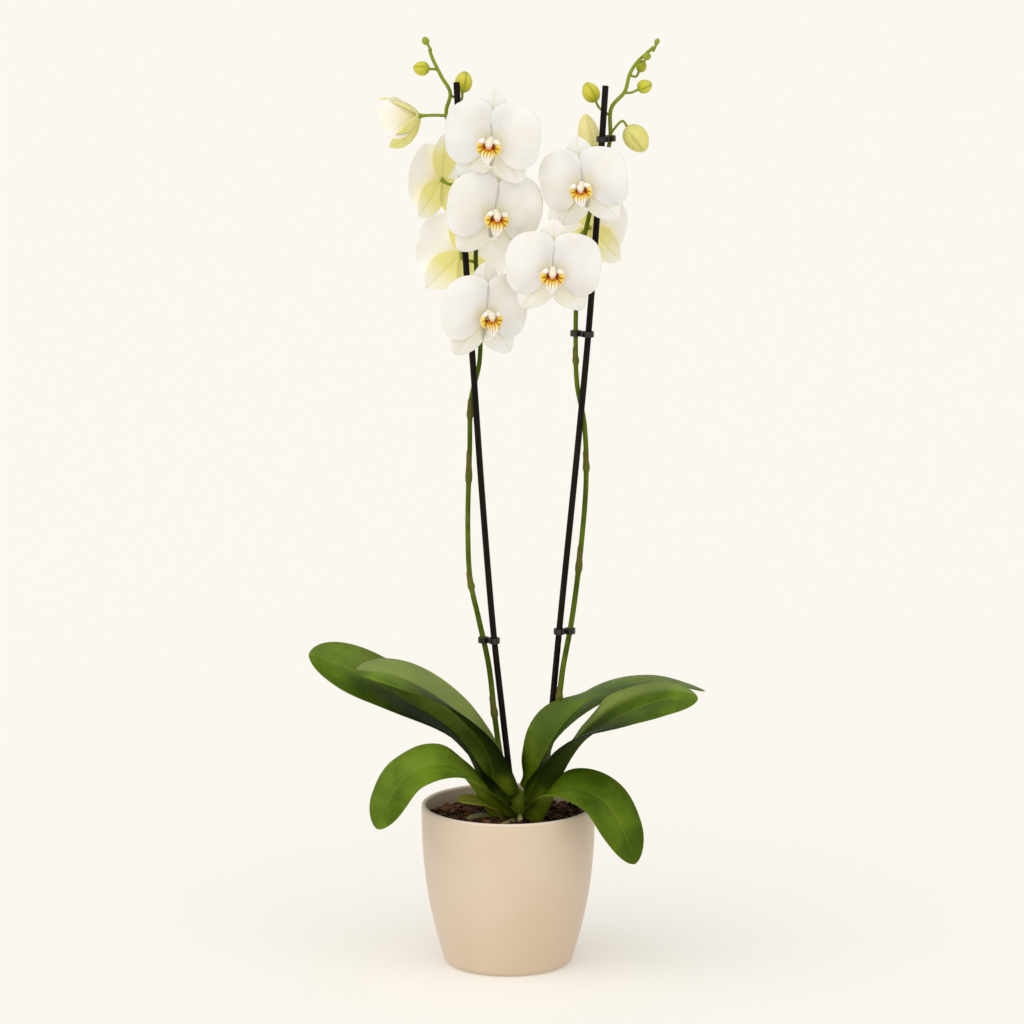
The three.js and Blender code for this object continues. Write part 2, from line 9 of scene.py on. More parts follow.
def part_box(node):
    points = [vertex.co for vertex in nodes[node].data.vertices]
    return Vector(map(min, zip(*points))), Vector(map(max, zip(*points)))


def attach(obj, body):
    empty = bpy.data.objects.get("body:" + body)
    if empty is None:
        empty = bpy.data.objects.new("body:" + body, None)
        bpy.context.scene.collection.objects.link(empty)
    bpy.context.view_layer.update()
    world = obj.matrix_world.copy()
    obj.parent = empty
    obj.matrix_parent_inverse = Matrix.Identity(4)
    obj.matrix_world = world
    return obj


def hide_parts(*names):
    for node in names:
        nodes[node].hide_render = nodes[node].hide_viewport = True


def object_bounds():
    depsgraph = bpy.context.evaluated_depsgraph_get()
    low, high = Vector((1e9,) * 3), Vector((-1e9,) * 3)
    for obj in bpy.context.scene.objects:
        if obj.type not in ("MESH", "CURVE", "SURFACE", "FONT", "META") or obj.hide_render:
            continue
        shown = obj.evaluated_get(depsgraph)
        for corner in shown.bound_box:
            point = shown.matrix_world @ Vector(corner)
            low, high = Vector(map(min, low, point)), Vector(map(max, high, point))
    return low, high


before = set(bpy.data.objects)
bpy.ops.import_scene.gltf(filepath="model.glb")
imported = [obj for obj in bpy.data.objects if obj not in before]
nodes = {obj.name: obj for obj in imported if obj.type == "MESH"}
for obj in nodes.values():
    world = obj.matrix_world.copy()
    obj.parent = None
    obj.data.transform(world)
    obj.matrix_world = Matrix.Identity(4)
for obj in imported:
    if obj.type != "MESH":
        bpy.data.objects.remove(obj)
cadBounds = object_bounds()
mm = 0.001
mergeGap = 2e-6  # metres: points nearer than this become one
up = Vector((0, 0, 1))
towardsFront = Vector((0, -1, 0.1)).normalized()
print("frame loaded:", len(nodes), "nodes")


# Small shared helpers.
def smoothStep(value, low, high):
    part = min(max((value - low) / (high - low), 0), 1)
    return part * part * (3 - 2 * part)


def blend(start, end, part):
    return start + (end - start) * part


def hump(distance, width):
    return math.exp(-((distance / width) ** 2))


def fromHex(code):
    parts = [int(code[i : i + 2], 16) / 255 for i in (0, 2, 4)]
    return (*[p / 12.92 if p <= 0.04045 else ((p + 0.055) / 1.055) ** 2.4 for p in parts], 1)


class Route:
    # A smooth curve through points in millimetres, on the same spline as the model's.
    def __init__(self, points):
        self.points = [Vector(p) for p in points]

    def at(self, along):
        last = len(self.points) - 1
        place = min(max(along, 0), 1) * last
        i = min(int(place), last - 1)
        w = place - i
        b, c = self.points[i], self.points[i + 1]
        a = self.points[i - 1] if i else 2 * b - c
        d = self.points[i + 2] if i + 2 <= last else 2 * c - b
        ab, bc, cd = ((q - p).length ** 0.5 for p, q in ((a, b), (b, c), (c, d)))
        leaving = ((b - a) / ab - (c - a) / (ab + bc) + (c - b) / bc) * bc
        arriving = ((c - b) / bc - (d - b) / (bc + cd) + (d - c) / cd) * bc
        return (
            b + leaving * w
            + (3 * (c - b) - 2 * leaving - arriving) * w * w
            + (2 * (b - c) + leaving + arriving) * w ** 3
        )

    def heading(self, along):
        return (self.at(along + 0.002) - self.at(along - 0.002)).normalized()

    def frameAt(self, along, reference):
        # The point, the heading, and two directions square to it: level and raised.
        heading = self.heading(along)
        level = heading.cross(reference).normalized()
        return self.at(along), heading, level, level.cross(heading)

    def atHeight(self, height):
        low, high = 0.0, 1.0
        for _ in range(40):
            middle = (low + high) / 2
            low, high = (middle, high) if self.at(middle).z < height else (low, middle)
        return low


# Mesh helpers. Shapes are worked out in millimetres and stored in metres.
def newMesh(*layers):
    bm = bmesh.new()
    for layer in layers:
        bm.verts.layers.float.new(layer)
    return bm


def mapGrid(bm, columns, rows, place):
    # Lays a grid on a surface. place(u, v) gives the point in mm and the values of its layers.
    made = bmesh.ops.create_grid(bm, x_segments=columns, y_segments=rows, size=0.5)["verts"]
    for vert in made:
        point, values = place(vert.co.x + 0.5, vert.co.y + 0.5)
        vert.co = point * mm
        for layer, value in values.items():
            vert[bm.verts.layers.float[layer]] = value
    bmesh.ops.remove_doubles(bm, verts=made, dist=mergeGap)


def onRing(middle, level, raised, radius, angle):
    return middle + level * radius * math.cos(angle) + raised * radius * math.sin(angle)


def spun(profile, steps):
    bm = bmesh.new()
    verts = [bm.verts.new((radius, 0, height)) for radius, height in profile]
    edges = [bm.edges.new(pair) for pair in zip(verts, verts[1:])]
    bmesh.ops.spin(bm, geom=verts + edges, cent=(0, 0, 0), axis=(0, 0, 1), angle=math.tau,
                   steps=steps, use_merge=True)
    bmesh.ops.remove_doubles(bm, verts=bm.verts, dist=mergeGap)
    return bm


def finishPiece(bm, name, material, replaced, closed=True, wall=0, smooth=0):
    if closed:
        bmesh.ops.recalc_face_normals(bm, faces=bm.faces)
    for face in bm.faces:
        face.smooth = True
    mesh = bpy.data.meshes.new(name)
    bm.to_mesh(mesh)
    bm.free()
    mesh.materials.append(material)
    piece = bpy.data.objects.new(name, mesh)
    bpy.context.scene.collection.objects.link(piece)
    if wall:
        skin = piece.modifiers.new("wall", "SOLIDIFY")
        skin.thickness = wall * mm
        skin.offset = 0
        skin.use_rim = True
        skin.use_even_offset = False
    if smooth:
        rounder = piece.modifiers.new("rounding", "SUBSURF")
        rounder.levels = rounder.render_levels = smooth
    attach(piece, "root")
    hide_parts(replaced)


# Shader helpers: a wire is an output socket that arithmetic can be written on. Colours are hex codes.
class Wire:
    def __init__(self, finish, socket):
        self.finish, self.socket = finish, socket

    def __add__(self, other):
        return self.finish.math("ADD", self, other)

    def __sub__(self, other):
        return self.finish.math("SUBTRACT", self, other)

    def __rsub__(self, other):
        return self.finish.math("SUBTRACT", other, self)

    def __mul__(self, other):
        return self.finish.math("MULTIPLY", self, other)

    def __pow__(self, other):
        return self.finish.math("POWER", self, other)

    __radd__ = __add__
    __rmul__ = __mul__


class Finish:
    def __init__(self, name, **fixed):
        self.material = bpy.data.materials.new(name)
        self.material.use_nodes = True
        self.tree = self.material.node_tree
        self.shader = self.tree.nodes["Principled BSDF"]
        self.put(**fixed)

    def node(self, kind, settings=None, sockets=None, output=0):
        made = self.tree.nodes.new(kind)
        for name, value in (settings or {}).items():
            if name == "stops":
                ramp = made.color_ramp
                while len(ramp.elements) < len(value):
                    ramp.elements.new(1)
                for element, (position, color) in zip(ramp.elements, value):
                    element.position, element.color = position, fromHex(color)
            else:
                setattr(made, name, value)
        for name, value in (sockets or {}).items():
            self.feed(made.inputs[name], value)
        return Wire(self, made.outputs[output])

    def feed(self, socket, value):
        if isinstance(value, Wire):
            self.tree.links.new(value.socket, socket)
        else:
            socket.default_value = fromHex(value) if isinstance(value, str) else value

    def math(self, operation, first, second=0.0, clamp=False):
        settings = {"operation": operation, "use_clamp": clamp}
        return self.node("ShaderNodeMath", settings, {0: first, 1: second})

    def sine(self, value):
        return self.math("SINE", value)

    def clamped(self, value):
        return self.math("ADD", value, 0.0, True)

    def soft(self, value, low, high):
        return self.node("ShaderNodeMapRange", {"interpolation_type": "SMOOTHSTEP"},
                         {0: value, 1: low, 2: high})

    def layer(self, name):
        return self.node("ShaderNodeAttribute", {"attribute_name": name}, output=2)

    def layers(self, *names):
        return [self.layer(name) for name in names]

    def place(self, scale):
        coordinates = self.node("ShaderNodeTexCoord", output=3)
        return self.node("ShaderNodeMapping", {}, {0: coordinates, 3: scale})

    def grain(self, scale, detail=3.0, roughness=0.55, stretch=(1, 1, 1), distortion=0.0):
        return self.node("ShaderNodeTexNoise", {},
                         {"Vector": self.place(stretch), "Scale": scale, "Detail": detail,
                          "Roughness": roughness, "Distortion": distortion})

    def cells(self, scale, stretch=(1, 1, 1)):
        return self.node("ShaderNodeTexVoronoi", {}, {"Vector": self.place(stretch), "Scale": scale})

    def ramp(self, value, stops):
        return self.node("ShaderNodeValToRGB", {"stops": stops}, {0: value})

    def mix(self, part, first, second):
        return self.node("ShaderNodeMix", {"data_type": "RGBA"}, {0: part, 6: first, 7: second}, 2)

    def bump(self, height, strength, distance):
        sockets = {"Height": height, "Strength": strength, "Distance": distance}
        return self.node("ShaderNodeBump", {}, sockets)

    def put(self, **wires):
        for socket, value in wires.items():
            self.feed(self.shader.inputs[socket.replace("_", " ")], value)
        return self.material


# Camera, floor and light.
view = {
    "cameraAt": (0.003, -4.0, 1.140),
    "lookDown": 10.926,
    "lens": 180.49,
    "sensor": 36,
    "floorHalf": 30,
    "floorGap": 0.0004,
    "floorColor": (0.72, 0.70, 0.66, 1),
    "floorGlow": (0.955, 0.928, 0.856, 1),
    "floorGlowStrength": 0.285,  # lifts the paper to a pale backdrop
    "skyColor": (1.0, 0.985, 0.965, 1),
    "skyStrength": 0.60,
    "sunColor": (1, 0.985, 0.955),
    "sunStrength": 1.46,
    "sunTurn": (36, 0, -17),
    "sunSoftness": 85,
}


def setView():
    scene = bpy.context.scene
    camera = bpy.data.objects.new("camera", bpy.data.cameras.new("camera"))
    camera.data.lens = view["lens"]
    camera.data.sensor_width = view["sensor"]
    camera.data.clip_end = 100
    camera.location = view["cameraAt"]
    camera.rotation_euler = (math.radians(90 - view["lookDown"]), 0, 0)
    scene.collection.objects.link(camera)
    scene.camera = camera
    world = bpy.data.worlds.new("studio")
    world.use_nodes = True
    sky = world.node_tree.nodes["Background"].inputs
    sky["Color"].default_value, sky["Strength"].default_value = view["skyColor"], view["skyStrength"]
    scene.world = world
    sun = bpy.data.objects.new("key", bpy.data.lights.new("key", "SUN"))
    sun.data.energy = view["sunStrength"]
    sun.data.angle = math.radians(view["sunSoftness"])
    sun.data.color = view["sunColor"]
    sun.rotation_euler = [math.radians(a) for a in view["sunTurn"]]
    scene.collection.objects.link(sun)
    scene.view_settings.view_transform = "Standard"
    bm = bmesh.new()
    bmesh.ops.create_grid(bm, x_segments=2, y_segments=2, size=view["floorHalf"])
    mesh = bpy.data.meshes.new("floor")
    bm.to_mesh(mesh)
    bm.free()
    floor = bpy.data.objects.new("floor", mesh)
    floor.location.z = cadBounds[0][2] - view["floorGap"]
    paper = Finish("backdropPaper", Roughness=0.9, Specular_IOR_Level=0.1,
                   Emission_Color=view["floorGlow"], Emission_Strength=view["floorGlowStrength"])
    fleck = paper.grain(40, 2)
    mesh.materials.append(paper.put(Base_Color=paper.mix(fleck * 0.02, view["floorColor"], (1, 1, 1, 1))))
    scene.collection.objects.link(floor)


setView()
print("camera, floor and light are set")


# Cover pot: a tapered ceramic cup with a rounded foot and rim, under a satin glaze.
potLow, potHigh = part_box("cover_pot")
potSpec = {
    "height": potHigh.z,
    "rimRadius": (potHigh.x - potLow.x) / 2,
    "baseRadius": 0.0505,
    "wall": 0.0036,
    "floor": 0.007,
    "swell": 2.35,
    "footRounding": 0.0055,
    "footHollow": 0.0012,
    "footRing": (0.012, 0.0095),  # in from the base's edge
    "floorRounding": 0.006,
    "glaze": "ddc9b3",
    "glazeWarm": "d6bfa5",
    "rimPale": "ece0cf",
}


def potRadius(height):
    taper = potSpec["rimRadius"] - potSpec["baseRadius"]
    return potSpec["baseRadius"] + taper * (1 - max(0, 1 - height / potSpec["height"]) ** potSpec["swell"])


def potGlaze():
    glaze = Finish("potGlaze", IOR=1.5, Coat_Weight=0.18, Coat_Roughness=0.22)
    cloudy = glaze.grain(9, 3, 0.5)
    specks = glaze.soft(glaze.grain(1400, 2, 0.6), 0.66, 0.74)
    color = glaze.mix(glaze.soft(cloudy, 0.35, 0.7), potSpec["glaze"], potSpec["glazeWarm"])
    edge = glaze.soft(glaze.layer("edge"), 0.4, 1)
    # Lighter towards the top of the rim.
    color = glaze.mix(edge * 0.55, color, potSpec["rimPale"])
    color = glaze.mix(specks * 0.10, color, "a98a69")
    peel = glaze.grain(260, 2, 0.5) + glaze.grain(45, 2, 0.5) * 0.8
    return glaze.put(Base_Color=color, Roughness=0.36 + cloudy * 0.16,
                     Normal=glaze.bump(peel, 0.12, 0.0006))


def makePot():
    height, wall, floor = potSpec["height"], potSpec["wall"], potSpec["floor"]
    foot, bend, steps, rim = potSpec["footRounding"], potSpec["floorRounding"], 22, potSpec["wall"] / 2
    inside, outside = (potSpec["baseRadius"] - inset for inset in potSpec["footRing"])

    def wallPoint(start, i, inset=0):
        level = start + (height - rim - start) * i / steps
        return potRadius(level) - inset, level

    outer = [(0, potSpec["footHollow"]), (inside, potSpec["footHollow"]), (outside, 0)]
    for i in range(7):
        turn = math.pi / 2 * i / 6
        outer.append((potRadius(foot) - foot * (1 - math.sin(turn)), foot * (1 - math.cos(turn))))
    outer += [wallPoint(foot, i) for i in range(1, steps + 1)]
    top = potSpec["rimRadius"]
    lip = [(top - rim + rim * math.cos(math.pi * i / 8), height - rim + rim * math.sin(math.pi * i / 8))
           for i in range(1, 8)]
    inner = [wallPoint(floor + bend, i, wall) for i in range(steps, -1, -1)]
    corner = inner[-1][0]
    inner += [(corner - bend * (1 - math.cos(math.pi / 2 * i / 4)),
               floor + bend * (1 - math.sin(math.pi / 2 * i / 4))) for i in range(1, 5)]
    inner.append((0, floor))
    bm = spun(outer + lip + inner, 128)
    edge = bm.verts.layers.float.new("edge")
    for vert in bm.verts:
        vert[edge] = smoothStep(vert.co.z, height - 0.0028, height - 0.0006)
    finishPiece(bm, "pot_glazed", potGlaze(), "cover_pot")


makePot()

# Grow pot: the thin clear plastic pot inside, dull with fine scratches.
growSpec = {"plastic": "b9b4a4", "grime": "6f6250", "wall": 0.0012, "rimFold": 0.006, "rimStep": 0.0025,
            "baseRadius": 0.043, "drainRadius": 0.006}


def growPlastic():
    plastic = Finish("growPotPlastic", IOR=1.49)
    dirt = plastic.grain(60, 4, 0.65)
    color = plastic.mix(plastic.soft(dirt, 0.4, 0.7), growSpec["plastic"], growSpec["grime"])
    return plastic.put(Base_Color=color, Roughness=0.25 + dirt * 0.4,
                       Normal=plastic.bump(plastic.grain(420, 2), 0.1, 0.0004))


def makeGrowPot():
    low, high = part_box("grow_pot")
    rim, wall, fold = high.x, growSpec["wall"], growSpec["rimFold"]
    upper, base, drain = rim - growSpec["rimStep"], growSpec["baseRadius"], growSpec["drainRadius"]
    profile = [(drain, low.z), (base - 0.0015, low.z), (base, low.z + 0.0012), (upper, high.z - fold),
               (rim - 0.0004, high.z - fold + 0.0003), (rim, high.z - fold + 0.001), (rim, high.z - 0.0006),
               (rim - 0.0006, high.z), (upper - wall + 0.001, high.z), (upper - wall, high.z - 0.001),
               (base - wall, low.z + wall), (drain, low.z + wall), (drain, low.z)]
    finishPiece(spun(profile, 96), "grow_pot_clear", growPlastic(), "grow_pot")


makeGrowPot()
print("both pots are turned")

# Medium: a heaped bed with pine bark chips lying on it.
barkSpec = {
    "seed": 11,
    "chips": 520,
    "size": (3.6, 11.5),
    "slope": 14,
    "sunk": 2.2,
    "heap": 2.4,
    "bottom": 0.09,  # metres above the bed's foot: what lies lower is hidden in the pots
    "dark": "24150e",
    "middle": "664020",
    "red": "8c5027",
    "pale": "a2784c",
}
barkLow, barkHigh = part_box("bark_bed")
barkTop = barkHigh.z / mm
bedRadius = potRadius(barkHigh.z) / mm - potSpec["wall"] / mm - 0.8


def bedHeight(x, y):
    lumps = 1.6 * noise.noise(Vector((x * 0.11, y * 0.11, 3.7)))
    lumps += 0.9 * noise.noise(Vector((x * 0.3, y * 0.3, 9.1)))
    rise = 1 - smoothStep(math.hypot(x, y), bedRadius - barkSpec["slope"], bedRadius)
    return barkTop - barkSpec["sunk"] + barkSpec["heap"] * rise + lumps


def barkFinish():
    bark = Finish("pineBark", Specular_IOR_Level=0.25)
    chip = bark.layer("chip")
    fibre = bark.grain(240, 4, 0.7, (1, 1, 2.4), 0.6)
    color = bark.ramp(chip, [(0, barkSpec["dark"]), (0.45, barkSpec["middle"]),
                             (0.72, barkSpec["red"]), (1, barkSpec["pale"])])
    damp = bark.mix(0.55, color, (0.01, 0.006, 0.004, 1))
    color = bark.mix(bark.soft(fibre, 0.42, 0.68), damp, color)
    flake = bark.cells(330, (1, 1, 2))
    return bark.put(Base_Color=color, Roughness=0.78 + fibre * 0.2,
                    Normal=bark.bump(fibre + flake * 0.5, 0.55, 0.0012))


def chipBlank():
    blank = newMesh("chip")
    bmesh.ops.create_cube(blank, size=1)
    bmesh.ops.subdivide_edges(blank, edges=blank.edges[:], cuts=1, use_grid_fill=True)
    return blank


def addChip(bm, blank, rng, x, y, lift):
    chip = blank.copy()
    layer = chip.verts.layers.float["chip"]
    size = rng.uniform(*barkSpec["size"])
    turn = Euler((rng.gauss(0, 0.32), rng.gauss(0, 0.32), rng.uniform(0, math.tau))).to_matrix()
    shape = Vector((size, size * rng.uniform(0.35, 0.8), size * rng.uniform(0.12, 0.34)))
    offset = Vector((rng.random() * 50, rng.random() * 50, 0))
    tone = rng.betavariate(1.5, 2.2)
    middle = Vector((x, y, bedHeight(x, y) + lift))
    for vert in chip.verts:
        point = vert.co * (1.12 - 0.37 * vert.co.length)
        point += 0.16 * noise.noise_vector(point * 2.6 + offset)
        vert.co = (middle + turn @ (point * shape)) * mm
        vert[layer] = tone
    holder = bpy.data.meshes.new("chip")
    chip.to_mesh(holder)
    chip.free()
    bm.from_mesh(holder)
    bpy.data.meshes.remove(holder)


def makeBark():
    bm = newMesh("chip")

    def bed(u, v):
        angle, radius = math.tau * u, bedRadius * v
        x, y = radius * math.cos(angle), radius * math.sin(angle)
        return Vector((x, y, bedHeight(x, y))), {"chip": 0.1}

    mapGrid(bm, 72, 22, bed)
    rim = [edge for edge in bm.edges if edge.is_boundary]
    for vert in bmesh.ops.extrude_edge_only(bm, edges=rim)["geom"]:
        if isinstance(vert, bmesh.types.BMVert):
            vert.co.z = barkLow.z + barkSpec["bottom"]
            vert[bm.verts.layers.float["chip"]] = 0.1
    bmesh.ops.contextual_create(bm, geom=[e for e in bm.edges if e.is_boundary])
    rng = random.Random(barkSpec["seed"])
    blank = chipBlank()
    for i in range(barkSpec["chips"]):
        radius, angle = (bedRadius - 4.5) * math.sqrt(rng.random()), rng.uniform(0, math.tau)
        x, y = radius * math.cos(angle), radius * math.sin(angle)
        addChip(bm, blank, rng, x, y, 0.4 + 2.6 * i / barkSpec["chips"])
    blank.free()
    finishPiece(bm, "bark_chips", barkFinish(), "bark_bed")


makeBark()
print("the bark is laid")

# Leaves: thick straps with a channelled midrib, clasping the crown at their feet.
greens = {"top": "455f0c", "topLight": "6d871c", "under": "5c7018", "underLight": "768628",
          "foot": "62760f", "footLight": "7c8f1c", "midrib": "8a9a34", "edge": "7c8c30",
          "shade": "0e1c02", "bloom": "99a264"}
fading = {**greens, "top": "7d8426", "topLight": "9a9a3c", "under": "8a8a34", "underLight": "a8a24a",
          "foot": "6a6a20", "footLight": "8a7a34", "midrib": "b4b060", "edge": "8a6a3a"}
leafShape = {"usualHalf": 26, "thickness": 1.9, "wave": 1.3, "groove": 0.9, "grooveWidth": 1.1, "rib": 9.5,
             "ribWidth": 7, "curl": 0.004, "tip": 0.3, "root": 0.03}
# halfWidth, roll and keel shape a blade. The rest are painted: shade paints shade on the half that leans to
# -Y and split moves its edge, deep paints shade over the whole blade, and the sheen key paints a pale sheen
# on the other half; 0 or a missing key turns the painted shade and sheen off.
leafSpecs = {
    "leaf_left_long": {
        "points": [(-2.8, -2.2, 128), (-16.5, -4.5, 151), (-44, 0, 189), (-88, 3, 218), (-128, 2, 240),
                   (-159, -2, 253)],
        "halfWidth": 30, "roll": (6, 34), "keel": (0.7, 0.1), "shade": 0.95, "bloom": 0.16},
    "leaf_left_upper": {
        "points": [(-0.2, -5, 137.1), (-9, -9, 165.3), (-32.9, -15, 198.7), (-62.2, -19, 224.9),
                   (-93.9, -21, 240.9), (-120.8, -22, 244.3)],
        "halfWidth": 26, "roll": (8, 14), "keel": (0.8, 0.12), "shade": 0.97, "bloom": 0.6},
    "leaf_left_lower": {
        "points": [(-3.4, -12.5, 123.3), (-15.3, -23, 140.8), (-30.4, -33, 158), (-47.7, -42, 170.9),
                   (-65.9, -46, 171), (-82.5, -48, 161.8), (-94.4, -50, 145.1), (-104, -53, 122.2)],
        "halfWidth": 23, "roll": (18, 34), "keel": (0.45, 0.1), "petiole": 0.66, "bloom": 0.06},
    "leaf_right_upper": {
        "points": [(21.4, -4, 137.7), (26.6, -7, 165.6), (44.5, -9, 198.1), (75.6, -3.5, 222.2),
                   (117.3, 5, 230.1), (157.6, 10, 219.9)],
        "halfWidth": 26.4, "roll": (-44, 2), "keel": (0.95, 0.1), "settles": (0.25, 0.56), "petiole": 0.42,
        "shade": 0.45, "bloom": 0.15, "deep": 0.18},
    "leaf_right_long": {
        "points": [(21, -13.5, 130.2), (34.1, -24, 157.5), (55.3, -43, 188.2), (75.6, -54, 206.6),
                   (98.4, -56.5, 220), (122.7, -57, 228), (149.5, -57, 229.6)],
        "halfWidth": 28, "roll": (-14, -20), "keel": (0.7, 0.12),
        "shade": 0.97, "bloom": 0.4, "split": -0.55},
    "leaf_right_lower": {
        "points": [(19.4, -19, 121.7), (26.9, -31, 137.9), (37.9, -41, 149.4), (53.7, -47, 153.4),
                   (74.2, -53, 145.9), (90.1, -58, 123.5), (100.4, -62, 96)],
        "halfWidth": 23, "roll": (-14, -34), "keel": (0.6, 0.08), "deep": 0.22},
    "leaf_old_small": {
        "points": [(0.2, -17.5, 120.5), (-11.4, -25, 130.6), (-26.4, -32, 139), (-40.7, -35, 141.4)],
        "halfWidth": 7.5, "roll": (10, 20), "keel": (0.6, 0.3), "old": True},
}


def leafFinish(name, colors):
    skin = Finish(name, IOR=1.45, Subsurface_Weight=0.06, Subsurface_Radius=(0.4, 0.8, 0.15),
                  Subsurface_Scale=0.002, Specular_IOR_Level=0.09)
    along, across, below, shade, bloom = skin.layers("along", "across", "below", "shade", "bloom")
    cloudy = skin.grain(22, 4, 0.6)
    fine = skin.grain(900, 3, 0.6)
    veins = skin.sine(across * 58 + cloudy * 5) * 0.5 + 0.5
    patches = skin.soft(cloudy, 0.36, 0.68)
    upper = skin.mix(patches, colors["top"], colors["topLight"])
    color = skin.mix(below, upper, skin.mix(patches, colors["under"], colors["underLight"]))
    # Painted sheen: a pale sheen on the half that leans back.
    color = skin.mix(bloom * (0.75 + veins * 0.25), color, colors["bloom"])
    color = skin.mix(veins ** 3 * 0.16, color, colors["topLight"])
    margin = skin.soft(skin.math("ABSOLUTE", across), 0.95, 1.0) * 0.3
    color = skin.mix(margin, color, colors["edge"])
    root = skin.mix(skin.soft(skin.grain(70, 3), 0.4, 0.65), colors["foot"], colors["footLight"])
    color = skin.mix(skin.soft(along, 0.36, 0.04), color, root)
    # Painted shade: on the half that leans to -Y, over whole blades and in the crowded foot.
    color = skin.mix(shade, color, colors["shade"])
    rib = skin.soft(skin.math("ABSOLUTE", across), 0.05, 0.008) * skin.soft(along, 1.0, 0.82)
    color = skin.mix(rib * 0.3, color, colors["midrib"])
    color = skin.mix(skin.soft(fine, 0.62, 0.75) * 0.12, color, (0.02, 0.05, 0.01, 1))
    relief = veins * 0.3 + fine * 0.16 + cloudy * 0.6 - rib * 0.6
    return skin.put(Base_Color=color, Roughness=0.36 + below * 0.34 + cloudy * 0.14,
                    Normal=skin.bump(relief, 0.25, 0.0009))


blade = leafFinish("leafSkin", greens)
oldBlade = leafFinish("leafOld", fading)


def makeLeaf(name, spec):
    route = Route(spec["points"])
    petiole = spec.get("petiole", 0.34)
    settleFrom, settleTo = spec.get("settles", (0, 1))
    rollStart, rollEnd = (math.radians(a) for a in spec["roll"])
    seed = sum(ord(letter) for letter in name) * 0.37
    size = spec["halfWidth"] / leafShape["usualHalf"]

    def place(u, v):
        # Round the blade's section: along its top from one margin to the other, back underneath.
        below = u > 0.5
        along, side = 0.5 - 0.5 * math.cos(math.pi * v), -math.cos(math.tau * u)
        point, heading, level, raised = route.frameAt(along, up)
        settled = smoothStep(along, settleFrom, settleTo)
        turn = blend(rollStart, rollEnd, settled)
        across = level * math.cos(turn) + raised * math.sin(turn)
        normal = across.cross(heading)
        ends, root, tip = 1, leafShape["root"], leafShape["tip"]
        if along < root:
            ends = math.sqrt(max(0, 1 - (1 - along / root) ** 2))
        elif along > 1 - tip:
            ends = max(0, 1 - (1 - (1 - along) / tip) ** 2) ** 0.58
        width = spec["halfWidth"] * (petiole + (1 - petiole) * smoothStep(along, 0.05, 0.62)) * ends
        width *= 1 + 0.25 * smoothStep(0.22 - along, 0, 0.2)
        keel = blend(*spec["keel"], settled)
        out = side * width
        fold = keel * (math.sqrt(out * out + 2.2) - 1.48) - leafShape["curl"] * out * out
        wave = leafShape["wave"] * noise.noise(Vector((along * 5 + seed, side * 1.1, seed)))
        wave *= abs(side) ** 1.5 * smoothStep(along, 0.15, 0.5)
        groove = -leafShape["groove"] * hump(out, leafShape["grooveWidth"])
        groove *= smoothStep(1 - along, 0.02, 0.3)
        margin = math.sqrt(max(0, 1 - side * side))
        thick = leafShape["thickness"] * (0.4 * margin + 0.6 * margin ** 0.4) * min(1, ends * 2)
        rib = leafShape["rib"] * size * smoothStep(0.4 - along, 0, 0.36) * margin * ends
        rib *= hump(out, leafShape["ribWidth"] * size)
        down = thick * 0.5 + rib if below else -thick * 0.5
        # Painted shade on the half that leans to -Y, over the whole blade and in the foot; a painted sheen
        # on the other half.
        split = spec.get("split", 0)
        nearness = smoothStep(-(across * side).y, split - 0.06, split + 0.3)
        reach = smoothStep(along, 0.03, 0.18) * smoothStep(0.9 - along, 0, 0.42)
        paintedFootShade = 0.75 * smoothStep(abs(side), 0.3, 0.95) * smoothStep(0.36 - along, 0, 0.22)
        bloom = spec.get("bloom", 0) * (1 - nearness) * (not below) * smoothStep(along, 0.1, 0.45)
        return (point + across * out + normal * (fold + wave + (0 if below else groove) - down),
                {"along": along, "across": side, "below": float(below), "bloom": bloom,
                 "shade": max(paintedFootShade, spec.get("shade", 0) * nearness * reach * (0.8 + 0.2 * abs(side))
                              + spec.get("deep", 0))})

    bm = newMesh("along", "across", "below", "shade", "bloom")
    mapGrid(bm, 68, 60, place)
    finishPiece(bm, name + "_blade", oldBlade if spec.get("old") else blade,
                name)


for leafName, leafSpec in leafSpecs.items():
    makeLeaf(leafName, leafSpec)
print("the leaves are grown")


# Cords: stems, stalks, roots and stakes are swept rings that close at both ends.
def addCord(bm, route, thickness, sides, rings, values, reference=towardsFront, chamfer=0):
    length = sum((route.at(i / 40) - route.at((i + 1) / 40)).length for i in range(40))

    def place(u, v):
        radius = thickness(v)
        if chamfer:
            # The first and last three rings close a flat end with a narrow bevel.
            ring = round(min(v, 1 - v) * rings)
            radius = (0, radius - chamfer, radius)[min(ring, 2)]
            back = (0, 0, chamfer / length)[min(ring, 2)]
            v = v if ring > 2 else (back if v < 0.5 else 1 - back)
        point, heading, level, raised = route.frameAt(v, reference)
        return onRing(point, level, raised, radius, math.tau * u), values(v)

    mapGrid(bm, sides, rings, place)


def roundedEnds(along, start, end):
    if along < start:
        return math.sqrt(max(0, 1 - (1 - along / start) ** 2))
    if along > 1 - end:
        return math.sqrt(max(0, 1 - (1 - (1 - along) / end) ** 2))
    return 1


rootShape = {"radius": 2.3, "wobble": 0.22}
rootSpecs = {
    "root_left": [(-3, -9, 117), (-18, -17, 124), (-31, -24, 123), (-38, -31, 114)],
    "root_front": [(4.4, -15.2, 120), (2.6, -28, 122), (-5, -40, 121.5), (-13, -48, 117)],
    "root_right": [(9.8, -15.4, 122), (9.4, -24, 124), (10, -31, 117)],
}


def rootFinish():
    skin = Finish("rootSkin")
    patches = skin.grain(130, 4, 0.6)
    color = skin.mix(skin.soft(patches, 0.35, 0.65), "6c6c3e", "93905c")
    color = skin.mix(skin.soft(skin.grain(420, 3), 0.55, 0.7) * 0.5, color, "453d22")
    return skin.put(Base_Color=color, Roughness=0.55 + patches * 0.25,
                    Normal=skin.bump(patches + skin.grain(600, 2) * 0.3, 0.4, 0.0008))


